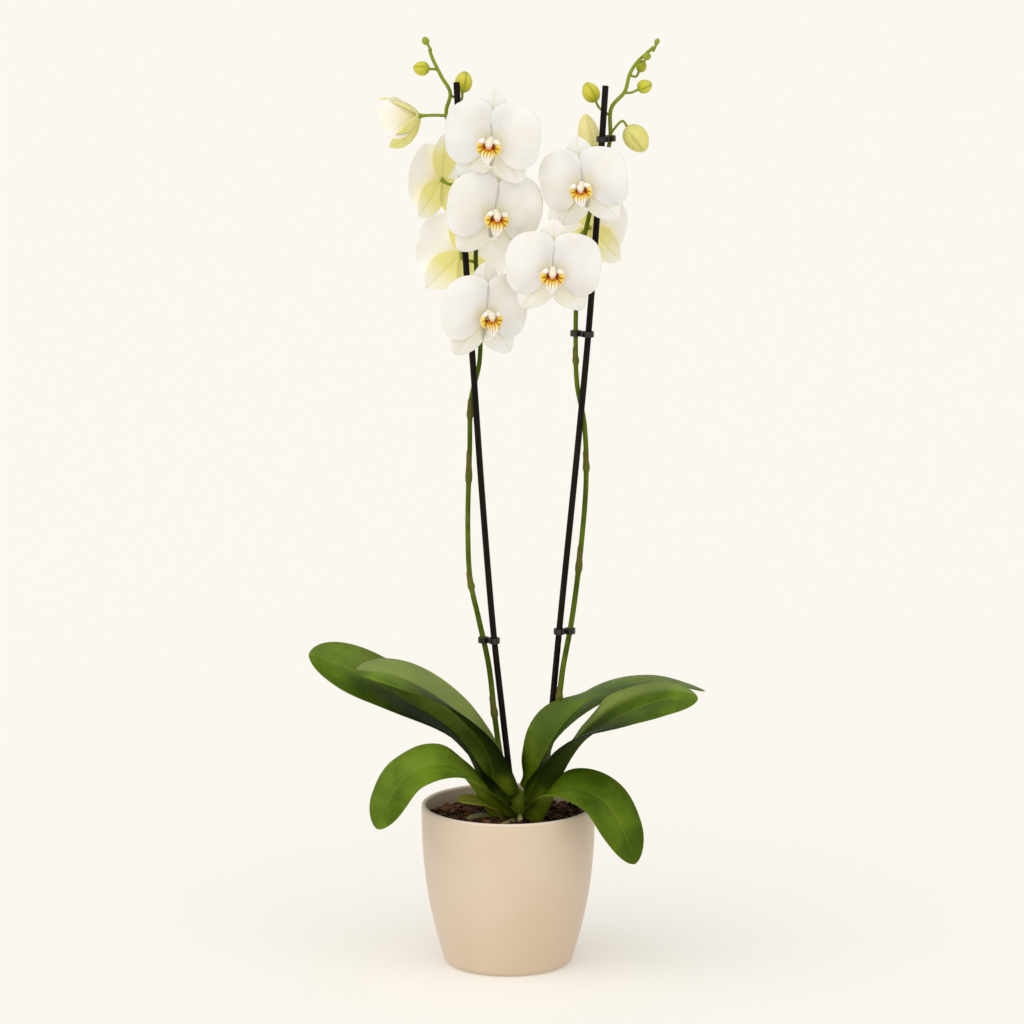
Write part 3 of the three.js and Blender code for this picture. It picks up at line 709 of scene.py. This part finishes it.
rootSkin = rootFinish()
for rootName, rootPoints in rootSpecs.items():
    bm = newMesh("along")
    phase = len(rootName)

    def rootRadius(v):
        radius = rootShape["radius"] + rootShape["wobble"] * math.sin(v * 17 + phase)
        return radius * roundedEnds(v, 0.08, 0.12)

    addCord(bm, Route(rootPoints), rootRadius, 18, 34, lambda v: {"along": v}, up)
    finishPiece(bm, rootName + "_skin", rootSkin, rootName)

# Stakes: thin dark rods, straight but for the slight bow of the plant's pull.
stakeShape = {"radius": 2.5, "chamfer": 0.3}
stakeSpecs = {
    "stake_left": [(12, 11, 14), (5, 14, 112), (-3.6, 13.5, 192), (-12, 11, 270), (-20.5, 9.5, 376),
                   (-27.5, 8, 480), (-33.3, 7, 567), (-40.4, 6, 709)],
    "stake_right": [(22, 20, 14), (27.5, 18, 112), (35.4, 16, 208), (42, 13, 282), (54.2, 11, 408),
                    (63.4, 10, 510), (69, 9, 590), (76.2, 8, 706)],
}


def stakeFinish():
    stain = Finish("stakeStain", Specular_IOR_Level=0.1)
    fibre = stain.grain(420, 4, 0.65, (1, 1, 0.05))
    worn = stain.soft(stain.grain(70, 4, 0.7), 0.55, 0.75)
    color = stain.mix(stain.soft(fibre, 0.35, 0.7), "0e0907", "221813")
    color = stain.mix(worn * 0.18, color, "4c3a2e")
    return stain.put(Base_Color=color, Roughness=0.42 + fibre * 0.22,
                     Normal=stain.bump(fibre, 0.35, 0.0005))


stakeStain = stakeFinish()
for stakeName, stakePoints in stakeSpecs.items():
    bm = newMesh("along")
    addCord(bm, Route(stakePoints), lambda v: stakeShape["radius"], 20, 160, lambda v: {"along": v},
            chamfer=stakeShape["chamfer"])
    finishPiece(bm, stakeName + "_rod", stakeStain, stakeName)
print("roots and stakes are in")

# Flowers. Each faces -Y before it is turned, with its sepals behind its petals.
# tone is how yellow-green it is, and how strongly it shines with a painted glow; cupped is how far it is
# still closed.
flowerSpecs = {
    "flower_left_1": {"at": (-13, -27, 667), "facing": -12, "nod": 4, "roll": 4, "size": 1.04},
    "flower_left_2": {"at": (-10.5, -17, 609), "facing": 14, "nod": 4, "roll": 6, "size": 1.05},
    "flower_left_3": {"at": (-17, -20, 530), "facing": 28, "nod": 2, "roll": 2, "size": 1.04},
    "flower_left_4": {"at": (-72, 16, 681), "facing": 262, "nod": 16, "roll": 0, "size": 0.92,
                      "cupped": 0.85, "tone": 0.8},
    "flower_left_5": {"at": (-54, 35, 629), "facing": 222, "nod": 0, "roll": -4, "size": 0.96,
                      "tone": 0.25},
    "flower_left_6": {"at": (-37, 42, 569.5), "facing": 184, "nod": 0, "roll": -8, "size": 1.02,
                      "tone": 0.2},
    "flower_right_1": {"at": (58.5, -24, 632), "facing": -16, "nod": 4, "roll": -8, "size": 0.98},
    "flower_right_2": {"at": (35, -31, 566), "facing": -2, "nod": 4, "roll": 2, "size": 1.02},
    "flower_right_3": {"at": (66, 42, 590), "facing": 144, "nod": 0, "roll": 14, "size": 1, "tone": 0.2},
}
tepalSpec = {
    "petalAxis": 14,
    "petalLength": 38,
    "petalSpreadUp": 85,
    "petalSpreadDown": 72,
    "clawWidth": 0.4,
    "sepalAxes": (91, 232, 308),
    "sepalLength": 39,
    "sepalHalfWidth": 13.5,
    "wall": 0.75,
    "arch": 3.4,
    "ripple": 3.4,
    "paintedGlow": 0.12,
    "white": "fdfbf7",
    "cream": "f8f1e3",
    "throat": "f1eab4",
    "sepalTint": "ece285",
    "green": "c6c44a",
    "blush": "f3e3d6",
}


def flowerMatrix(spec):
    turn = (Matrix.Rotation(math.radians(spec["facing"]), 4, "Z")
            @ Matrix.Rotation(math.radians(spec["nod"]), 4, "X")
            @ Matrix.Rotation(math.radians(spec["roll"]), 4, "Y"))
    return Matrix.Translation(spec["at"]) @ turn @ Matrix.Scale(spec["size"], 4)


def petalOutline(s, n):
    # The reach and the turn of a petal's fan: s runs from its claw to its margin, n across it.
    reach = s * (0.2 + 0.8 * math.sqrt(max(0, 1 - abs(n) ** 2.7)))
    reach *= 1 + 0.035 * math.sin(n * 7.3) * s
    opened = tepalSpec["clawWidth"] + (1 - tepalSpec["clawWidth"]) * smoothStep(s, 0, 0.42)
    spread = tepalSpec["petalSpreadUp"] if n > 0 else tepalSpec["petalSpreadDown"]
    return tepalSpec["petalLength"] * reach, math.radians(spread) * n * opened


def addTepals(bm, matrix, cupped, tone, seed):
    def lay(axis, flat, forward):
        outward = Vector((math.cos(axis), 0, math.sin(axis)))
        sideways = Vector((-math.sin(axis), 0, math.cos(axis)))
        along, across = flat
        lean = 1.1 * cupped * (0.35 + 0.65 * min(1, along / tepalSpec["petalLength"]))
        forward += along * math.sin(lean) + 0.013 * cupped * across * across
        point = outward * along * math.cos(lean) + sideways * across * (1 - 0.35 * cupped)
        return matrix @ (point + Vector((0, -forward, 0)))

    def petal(hand):
        tilt = math.radians(tepalSpec["petalAxis"])
        axis = tilt if hand > 0 else math.pi - tilt

        def place(u, v):
            n, s = 2 * u - 1, v
            reach, turn = petalOutline(s, n)
            along, across = reach * math.cos(turn), reach * math.sin(turn) * hand
            far = reach / tepalSpec["petalLength"]
            spot = Vector((math.cos(turn) * far * 2.2, math.sin(turn) * far * 2.2, hand * 3.3))
            ripple = tepalSpec["ripple"] * noise.noise(spot + Vector((seed, 0, seed))) * far
            margin = smoothStep(s, 0.5, 1) * math.sin(turn * 5 + seed + hand) * 1.1
            forward = -0.5 + tepalSpec["arch"] * (math.sin(math.pi * min(1, far * 0.95)) - far * far)
            forward += ripple - margin - 1.6 * abs(n) ** 3 * s
            return lay(axis, (along, across), forward), {"out": s, "fan": n, "sepal": 0, "tone": tone}

        mapGrid(bm, 34, 20, place)

    def sepal(axisDegrees, index):
        axis = math.radians(axisDegrees)

        def place(u, v):
            n = 2 * u - 1
            half = tepalSpec["sepalHalfWidth"] * max(0, math.sin(math.pi * v ** 0.95)) ** 0.62
            along, across = tepalSpec["sepalLength"] * v, half * n * (1 + 0.4 * cupped)
            twist = 0.9 * noise.noise(Vector((v * 2.3, n, seed + index * 5.1)))
            forward = -2.4 - 1.3 * math.cos(math.pi * v) * v - 2.3 * v * v - 1.1 * n * n + twist * v
            forward += 0.6 * hump(n, 0.12) * (1 - v)
            return lay(axis, (along, across), forward), {"out": v, "fan": n, "sepal": 1, "tone": tone}

        mapGrid(bm, 18, 22, place)

    for hand in (1, -1):
        petal(hand)
    for index, axisDegrees in enumerate(tepalSpec["sepalAxes"]):
        sepal(axisDegrees, index)


def tepalFinish():
    # Painted light: the emission paints a glow that stands in for light through the thin backs of the
    # flowers that face away.
    skin = Finish("orchidPetal", IOR=1.38, Subsurface_Weight=0.5, Subsurface_Radius=(1.0, 0.95, 0.8),
                  Subsurface_Scale=0.006, Sheen_Weight=0.2, Sheen_Roughness=0.5,
                  Emission_Strength=tepalSpec["paintedGlow"])
    out, fan, sepal, tone = skin.layers("out", "fan", "sepal", "tone")
    cloudy = skin.grain(34, 3, 0.55)
    veins = skin.sine(fan * 74 + cloudy * 3.2) * 0.5 + 0.5
    sparkle = skin.grain(2600, 2, 0.6)
    color = skin.mix(skin.soft(cloudy, 0.38, 0.7), tepalSpec["white"], tepalSpec["cream"])
    color = skin.mix(skin.soft(out, 0.45, 0.04) * 0.75, color, tepalSpec["throat"])
    tint = sepal * skin.soft(out, 0.95, 0.0) * 0.55
    tint += tone * sepal * skin.soft(out, 1.4, 0.1) * 3.6
    tint += tone ** 2 * skin.soft(out, 1.2, 0.1) * 0.9
    color = skin.mix(skin.clamped(tint), color, tepalSpec["sepalTint"])
    rib = skin.soft(skin.math("ABSOLUTE", fan), 0.16, 0.0) * sepal
    color = skin.mix(skin.clamped(rib * 0.3 + tone * rib * 0.4), color, tepalSpec["green"])
    color = skin.mix(veins ** 3 * skin.soft(out, 1.0, 0.2) * 0.14, color, tepalSpec["blush"])
    relief = veins * 0.35 + cloudy * 0.5 + sparkle * 0.12
    # Painted glow: the toned flowers glow in their own colour.
    through = skin.mix(skin.soft(tone, 0.0, 0.2) * skin.soft(tone, 1.1, 0.3), (0, 0, 0, 1), color)
    return skin.put(Base_Color=color, Roughness=0.44 + sparkle * 0.16, Emission_Color=through,
                    Normal=skin.bump(relief, 0.22, 0.0007))


petalFinish = tepalFinish()

# Lip and column, in the flower's own directions.
lipSpec = {
    "wall": 0.7,
    "hinge": 1.4,
    "tendril": 0.38,
    "throat": "b04418",
    "orange": "e2861c",
    "yellow": "f3cf3c",
    "pale": "f8e9a4",
    "white": "fcf8ee",
    "stripe": "9a3014",
    "cap": "f5e9d8",
    "capShade": "e2bd98",
    "spot": "a8401c",
}


def addLip(bm, matrix, cupped):
    squeeze = 1 - 0.7 * cupped
    hinge = lipSpec["hinge"]
    base = matrix @ Matrix.Translation((0, -hinge - 5 * cupped, 0)) @ Matrix.Scale(squeeze, 4)

    def put(x, y, z):
        return base @ Vector((x, y + hinge, z))

    def column(u, v):
        # A short thick rod that leans forward, with a rounded cap and a beak at its end.
        angle = math.tau * u
        radius = blend(2.3, 2.9, smoothStep(v, 0.25, 0.75)) * roundedEnds(v, 0.1, 0.32)
        y, z = -1.2 - 10.0 * v, 1.2 - 1.7 * v - 1.4 * v * v
        beak = 1.0 * hump(v - 0.93, 0.08) * max(0, -math.sin(angle))
        below = max(0, -math.sin(angle)) * smoothStep(v, 0.3, 0.7)
        return (put(radius * 0.9 * math.cos(angle), y, z + radius * math.sin(angle) - beak),
                {"part": 0, "out": v, "fan": below})

    mapGrid(bm, 20, 22, column)

    def sideLobe(hand):
        # A flared ear: half of the funnel round the column, upright at the top.
        def place(u, v):
            n = 2 * u - 1
            angle = math.radians(-4 + 50 * n)
            reach = 1.8 + (7.6 - 1.5 * n) * v * math.sqrt(1 - 0.55 * n * n)
            forward = 4.2 + 5.8 * smoothStep(v, 0, 0.75) - 1.6 * smoothStep(v, 0.72, 1)
            ruffle = 0.5 * math.sin(n * 6 + hand) * v * v
            return (put(hand * (0.4 + reach * math.cos(angle) * 0.96), -forward - ruffle,
                        -3.6 + reach * math.sin(angle) * 1.15 + 1.6 * v),
                    {"part": 1, "out": v, "fan": n})

        mapGrid(bm, 18, 16, place)

    def middleLobe(u, v):
        n = 2 * u - 1
        spine = Route([(0, -4.4, -3.8), (0, -8.8, -7.2), (0, -11.4, -11.4), (0, -10.4, -16.4)])
        point, heading = spine.at(v), spine.heading(v)
        half = 2.2 + 3.2 * smoothStep(v, 0.1, 0.4) - 4.4 * smoothStep(v, 0.5, 1.02)
        half *= roundedEnds(v, 0.04, 0.1)
        normal = Vector((1, 0, 0)).cross(heading)
        lift = 0.32 * half * n * n + 0.5 * hump(n, 0.2)
        point = point + Vector((half * n, 0, 0)) + normal * -lift
        return put(*point), {"part": 2, "out": v, "fan": n}

    mapGrid(bm, 14, 22, middleLobe)
    for hand in (1, -1):
        sideLobe(hand)
        # A thin tendril that curls back from the tip of the middle lobe.
        tendril = Route([(hand * 0.3, -10.4, -16), (hand * 1.7, -9.2, -18.2), (hand * 3.3, -7.4, -18.2),
                         (hand * 3.9, -6.4, -16.8)])

        def whisker(u, v, tendril=tendril):
            point, heading, level, raised = tendril.frameAt(v, towardsFront)
            radius = lipSpec["tendril"] * (1 - 0.6 * v) * roundedEnds(v, 0.03, 0.06)
            return put(*onRing(point, level, raised, radius, math.tau * u)), {"part": 2, "out": 1, "fan": 0}

        mapGrid(bm, 6, 12, whisker)

        # Half of the two-pronged callus between the lobes.
        def callus(u, v, hand=hand):
            angle, rise = math.tau * u, math.pi * v
            radius = math.sin(rise)
            return (put(hand * 1.15 + 1.1 * radius * math.cos(angle), -7.6 - 1.8 * math.cos(rise),
                        -5.0 + 1.3 * radius * math.sin(angle)), {"part": 3, "out": v, "fan": 0})

        mapGrid(bm, 10, 8, callus)


def lipFinish():
    lip = Finish("orchidLip", IOR=1.4, Subsurface_Weight=0.2, Subsurface_Radius=(1.0, 0.6, 0.3),
                 Subsurface_Scale=0.002)
    part, out, fan = lip.layers("part", "out", "fan")
    cloudy = lip.grain(240, 3, 0.6)
    isColumn = lip.soft(part, 0.5, 0.4)
    isMiddle = lip.soft(part, 1.5, 1.6) * lip.soft(part, 2.5, 2.4)
    isSide = lip.soft(part, 0.5, 0.6) * lip.soft(part, 1.5, 1.4)
    isCallus = lip.soft(part, 2.5, 2.6)
    lines = lip.soft(lip.sine(fan * 13 + out * 3 + cloudy * 2.0), 0.2, 0.8)
    stripes = lines * lip.soft(out, 0.95, 0.6) * lip.soft(out, 0.0, 0.16)
    color = lip.ramp(out + cloudy * 0.14 - 0.07,
                     [(0.16, lipSpec["throat"]), (0.34, lipSpec["orange"]),
                      (0.5, lipSpec["yellow"]), (0.78, lipSpec["yellow"]),
                      (0.95, lipSpec["pale"])])
    hood = isSide * lip.soft(fan, 0.1, 0.6) * lip.soft(out, 0.3, 0.6)
    color = lip.mix(hood, color, lipSpec["white"])
    warm = lip.ramp(out + cloudy * 0.12 - 0.06,
                    [(0, lipSpec["throat"]), (0.16, lipSpec["orange"]),
                     (0.34, lipSpec["yellow"]), (0.52, lipSpec["pale"]),
                     (0.68, lipSpec["white"])])
    color = lip.mix(isMiddle, color, warm)
    color = lip.mix(stripes * (1 - hood) * (0.9 - isMiddle * 0.3), color, lipSpec["stripe"])
    spots = lip.soft(lip.cells(1100), 0.34, 0.22)
    color = lip.mix(isCallus, color, lip.mix(spots, lipSpec["orange"], lipSpec["spot"]))
    cap = lip.mix(fan * 0.8, lipSpec["cap"], lipSpec["capShade"])
    color = lip.mix(isColumn, color, cap)
    return lip.put(Base_Color=color, Roughness=0.36 + cloudy * 0.18,
                   Normal=lip.bump(cloudy + stripes * 0.4, 0.25, 0.0005))


throatFinish = lipFinish()


def makeFlower(name, spec):
    matrix, cupped, seed = flowerMatrix(spec), spec.get("cupped", 0), sum(map(ord, name)) * 0.73
    bm = newMesh("out", "fan", "sepal", "tone")
    addTepals(bm, matrix, cupped, spec.get("tone", 0), seed)
    finishPiece(bm, name + "_tepals", petalFinish, name + "_petals",
                closed=False, wall=tepalSpec["wall"], smooth=1)
    bm = newMesh("part", "out", "fan")
    addLip(bm, matrix, cupped)
    finishPiece(bm, name + "_throat", throatFinish, name + "_lip",
                closed=False, wall=lipSpec["wall"])


for flowerName, flowerSpec in flowerSpecs.items():
    makeFlower(flowerName, flowerSpec)
print("the flowers are open")

# Buds: eggs with three shallow seams, where the closed sepals meet.
budShape = {"seamTurn": 1.79, "seamWidth": 0.15, "seamDepth": 0.13, "bulge": 0.05, "flatness": 0.94,
            "ripeRadius": 6.2}
budSpecs = {
    "bud_left_1": {"at": (-36, 17, 699.5), "axis": (0.15, 0.1, 1), "length": 17, "radius": 6.9},
    "bud_left_2": {"at": (-61.5, 13.5, 718.5), "axis": (-1, 0.05, 0.1), "length": 13, "radius": 5.7},
    "bud_left_3": {"at": (-63, 12, 738), "axis": (-0.55, 0, 1), "length": 6.5, "radius": 2.9},
    "bud_right_1": {"at": (69, 21, 692), "axis": (-0.55, 0.2, 1), "length": 17, "radius": 6.8},
    "bud_right_2": {"at": (93, 8, 674), "axis": (0.62, -0.1, -0.8), "length": 24, "radius": 9.6,
                    "pale": 0.5},
    "bud_right_3": {"at": (101.5, 12, 702.5), "axis": (1, 0.05, 0.45), "length": 12, "radius": 5.5},
    "bud_right_4": {"at": (102.5, 17, 716.5), "axis": (0.5, 0.55, 0.8), "length": 9.5, "radius": 4.2},
    "bud_right_5": {"at": (107.5, 8.5, 727.5), "axis": (0.3, -0.75, 0.5), "length": 7, "radius": 3.2},
    "bud_right_6": {"at": (115.6, 12, 738), "axis": (0.4, 0, 1), "length": 5, "radius": 2.1},
    "bud_right_opening": {"at": (68, 27, 644), "axis": (-0.2, 0.1, 1), "length": 38, "radius": 9,
                          "pale": 1},
}


def budFinish():
    skin = Finish("budSkin", IOR=1.42, Specular_IOR_Level=0.28, Subsurface_Weight=0.15,
                  Subsurface_Radius=(0.9, 1.0, 0.3), Subsurface_Scale=0.002)
    along, seam, pale, young = skin.layers("along", "seam", "pale", "young")
    cloudy = skin.grain(160, 3, 0.55)
    color = skin.ramp(along + cloudy * 0.2 - 0.1,
                      [(0, "a2ae2c"), (0.35, "d0ca3a"), (0.8, "dad254"), (1, "b4b83c")])
    color = skin.mix(young * 0.7, color, "6f8620")
    # Painted shade: darker along the seams' creases, on green and pale buds alike.
    color = skin.mix(seam * 0.6, color, "77851c")
    color = skin.mix(pale * 0.9, color, skin.mix(seam * 0.4, "f8eeac", "dcd87c"))
    color = skin.mix(skin.soft(skin.grain(1500, 2), 0.6, 0.75) * 0.15, color, "eee9a8")
    return skin.put(Base_Color=color, Roughness=0.38 + cloudy * 0.16,
                    Normal=skin.bump(cloudy - seam * 0.4, 0.2, 0.0006))


budSkin = budFinish()


def makeBud(name, spec):
    axis = Vector(spec["axis"]).normalized()
    level = axis.cross(towardsFront).normalized()
    raised = level.cross(axis)
    pale, young = spec.get("pale", 0), smoothStep(budShape["ripeRadius"] - spec["radius"], 0, 4)

    def place(u, v):
        angle = math.tau * u
        along = 0.5 - 0.5 * math.cos(math.pi * v)
        swell = spec["radius"] * math.sqrt(max(0, math.sin(math.pi * along ** 0.88)))
        turned = angle + budShape["seamTurn"]
        nearest = abs(turned % (math.tau / 3) - math.tau / 6)
        seam = hump(nearest, budShape["seamWidth"]) * smoothStep(along, 0.1, 0.35)
        swell *= 1 - budShape["seamDepth"] * seam + budShape["bulge"] * math.cos(3 * turned + math.pi)
        point = Vector(spec["at"]) + axis * spec["length"] * along
        point += level * swell * math.cos(angle) + raised * budShape["flatness"] * swell * math.sin(angle)
        return point, {"along": along, "seam": seam, "pale": pale, "young": young}

    bm = newMesh("along", "seam", "pale", "young")
    mapGrid(bm, 48, 28, place)
    finishPiece(bm, name + "_skin", budSkin, name)


for budName, budSpec in budSpecs.items():
    makeBud(budName, budSpec)

# Flower spikes: a jointed stem with a stalk to each flower and bud.
spikeSpecs = {
    "spike_left": {
        "route": [(4, 8.5, 128), (-2.5, 9.5, 150), (-6.2, 11, 166), (-10.6, 13.5, 196), (-15.6, 14, 240),
                  (-23.6, 14, 278), (-30.3, 14, 310), (-32.2, 14, 352), (-30.6, 14.5, 416),
                  (-29.4, 15, 456), (-22.8, 15, 486), (-22.6, 14, 530), (-25.6, 14, 570),
                  (-23, 14.5, 606), (-29, 14.5, 634), (-41, 13.5, 662), (-48.6, 12.5, 684),
                  (-45.4, 12, 700), (-52.4, 12, 713), (-59.6, 12, 728), (-61.8, 12, 735)],
        "joints": [201, 305, 394, 444],
        "stalks": {"flower_left_1": 640, "flower_left_2": 612, "flower_left_3": 538, "flower_left_4": 682,
                   "flower_left_5": 634, "flower_left_6": 566, "bud_left_1": 698, "bud_left_2": 712,
                   "bud_left_3": 733}},
    "spike_right": {
        "route": [(15.5, 7, 128), (27, 8, 168), (39.8, 11.5, 210), (43.8, 14, 238), (51, 16, 278),
                  (58, 16.5, 336), (62, 16.5, 392), (60.4, 16.5, 436), (54.6, 16, 468), (53.4, 15, 504),
                  (54.5, 15, 545), (61, 15.6, 590), (72, 15, 634), (79.9, 14, 662), (81, 13.5, 688),
                  (91.4, 13, 701), (95.4, 12.5, 715), (101, 12, 724), (114.5, 12, 736.5)],
        "joints": [215, 320, 401, 487],
        "stalks": {"flower_right_1": 608, "flower_right_2": 556, "flower_right_3": 580, "bud_right_1": 682,
                   "bud_right_2": 668, "bud_right_3": 700, "bud_right_4": 714, "bud_right_5": 724,
                   "bud_right_6": 735, "bud_right_opening": 640}},
}
stemSpec = {"base": 2.4, "tip": 1.3, "flowerStalk": 1.35, "budStalk": 1.05, "joint": 0.55, "papery": 0.35,
            "youngFrom": 600, "youngTo": 735}


def stemFinish():
    skin = Finish("stemSkin", IOR=1.42, Specular_IOR_Level=0.08, Subsurface_Weight=0.05,
                  Subsurface_Scale=0.001)
    young, joint = skin.layers("young", "joint")
    mottle = skin.grain(110, 4, 0.6, (1, 1, 0.35))
    fibre = skin.grain(520, 3, 0.6, (1, 1, 0.06))
    color = skin.mix(skin.soft(mottle, 0.35, 0.68), "43550b", "62741a")
    color = skin.mix(skin.soft(young, 0.0, 1.0) * 0.8, color, "97a536")
    color = skin.mix(skin.soft(fibre, 0.5, 0.75) * 0.35, color, "333f0f")
    color = skin.mix(joint * 0.75, color, "6d5334")
    return skin.put(Base_Color=color, Roughness=0.4 + fibre * 0.2,
                    Normal=skin.bump(fibre + mottle * 0.4, 0.3, 0.0005))


stemSkin = stemFinish()


def stalkFoot(name):
    # Where a stalk ends, the point it comes in from, and whether it bears a flower.
    if name in flowerSpecs:
        spec = flowerSpecs[name]
        back = 2 + 0.62 * (4.4 + 3 * spec.get("cupped", 0))
        matrix = flowerMatrix(spec)
        return matrix @ Vector((0, 1.6, 0)), matrix @ Vector((0, back + 9, -3)), 1
    spec = budSpecs[name]
    axis = Vector(spec["axis"]).normalized()
    return Vector(spec["at"]) + axis * 0.8, Vector(spec["at"]) - axis * 5.4, 0


def makeSpike(name, spec):
    stem = Route(spec["route"])
    bm = newMesh("young", "joint")
    marks = [stem.atHeight(height) for height in spec["joints"]]

    def thickness(v):
        swell = sum(stemSpec["joint"] * hump(v - mark, 0.004) for mark in marks)
        return (blend(stemSpec["base"], stemSpec["tip"], v) + swell) * roundedEnds(v, 0.006, 0.004)

    def tints(v):
        near = sum(hump(v - mark, 0.003) for mark in marks)
        young = smoothStep(stem.at(v).z, stemSpec["youngFrom"], stemSpec["youngTo"])
        return {"young": young, "joint": min(1, near)}

    addCord(bm, stem, thickness, 18, 420, tints)
    for mark in marks:
        # A papery scale that hugs the stem above each joint.
        def scale(u, v, mark=mark):
            here = mark + (v - 0.15) * 0.022
            point, heading, level, raised = stem.frameAt(here, towardsFront)
            angle = (u - 0.5) * 4.4 * (1 - v ** 1.6) + 2.2
            radius = thickness(here) + stemSpec["papery"] + 0.5 * v * v
            return onRing(point, level, raised, radius, angle), {"young": 0.2, "joint": 0.35 + 0.5 * v}

        mapGrid(bm, 12, 8, scale)
    for target, height in spec["stalks"].items():
        end, before, isFlower = stalkFoot(target)
        stalk = Route([stem.at(stem.atHeight(height)), before, end])
        radius = stemSpec["flowerStalk" if isFlower else "budStalk"]
        flare = 0.75 if isFlower else 0.25

        def stalkRadius(v, radius=radius, flare=flare):
            grown = 0.92 + flare * smoothStep(v, 0.72, 1) ** 2 + 0.4 * hump(v, 0.08)
            return radius * grown * roundedEnds(v, 0.01, 0.03)

        addCord(bm, stalk, stalkRadius, 12, 36,
                lambda v: {"young": 0.6 + 0.4 * v, "joint": 0.5 * hump(v, 0.06)})
    finishPiece(bm, name + "_stem", stemSkin, name, closed=False)


for spikeName, spikeSpec in spikeSpecs.items():
    makeSpike(spikeName, spikeSpec)
print("buds and spikes are in")

# Crown: the short upright stem that the leaves clasp.
def makeCrown():
    low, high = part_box("crown")
    middle = (low + high) / 2
    profile = [(0, low.z), (0.006, low.z + 0.002), (0.009, low.z + 0.026), (0.0086, low.z + 0.032),
               (0.0088, low.z + 0.036), (0.0072, high.z - 0.010), (0.005, high.z - 0.004), (0, high.z)]
    bm = spun(profile, 40)
    young, joint = (bm.verts.layers.float.new(name) for name in ("young", "joint"))
    for vert in bm.verts:
        vert[young] = 0.1
        vert[joint] = 0.2 * noise.noise(vert.co * 300)
        vert.co += Vector((middle.x, middle.y, 0))
    finishPiece(bm, "crown_stem", stemSkin, "crown")


makeCrown()

# Clips: the model's own shapes, in moulded black plastic with softened edges.
def clipFinish():
    skin = Finish("clipPlastic", IOR=1.5)
    fine = skin.grain(700, 3, 0.6)
    color = skin.mix(skin.soft(fine, 0.4, 0.7), "171513", "2c2825")
    return skin.put(Base_Color=color, Roughness=0.34 + fine * 0.2, Normal=skin.bump(fine, 0.2, 0.0003))


clipPlastic = clipFinish()
for nodeName, clip in nodes.items():
    if nodeName.startswith("clip_"):
        clip.data.materials.clear()
        clip.data.materials.append(clipPlastic)
print("clips are finished")
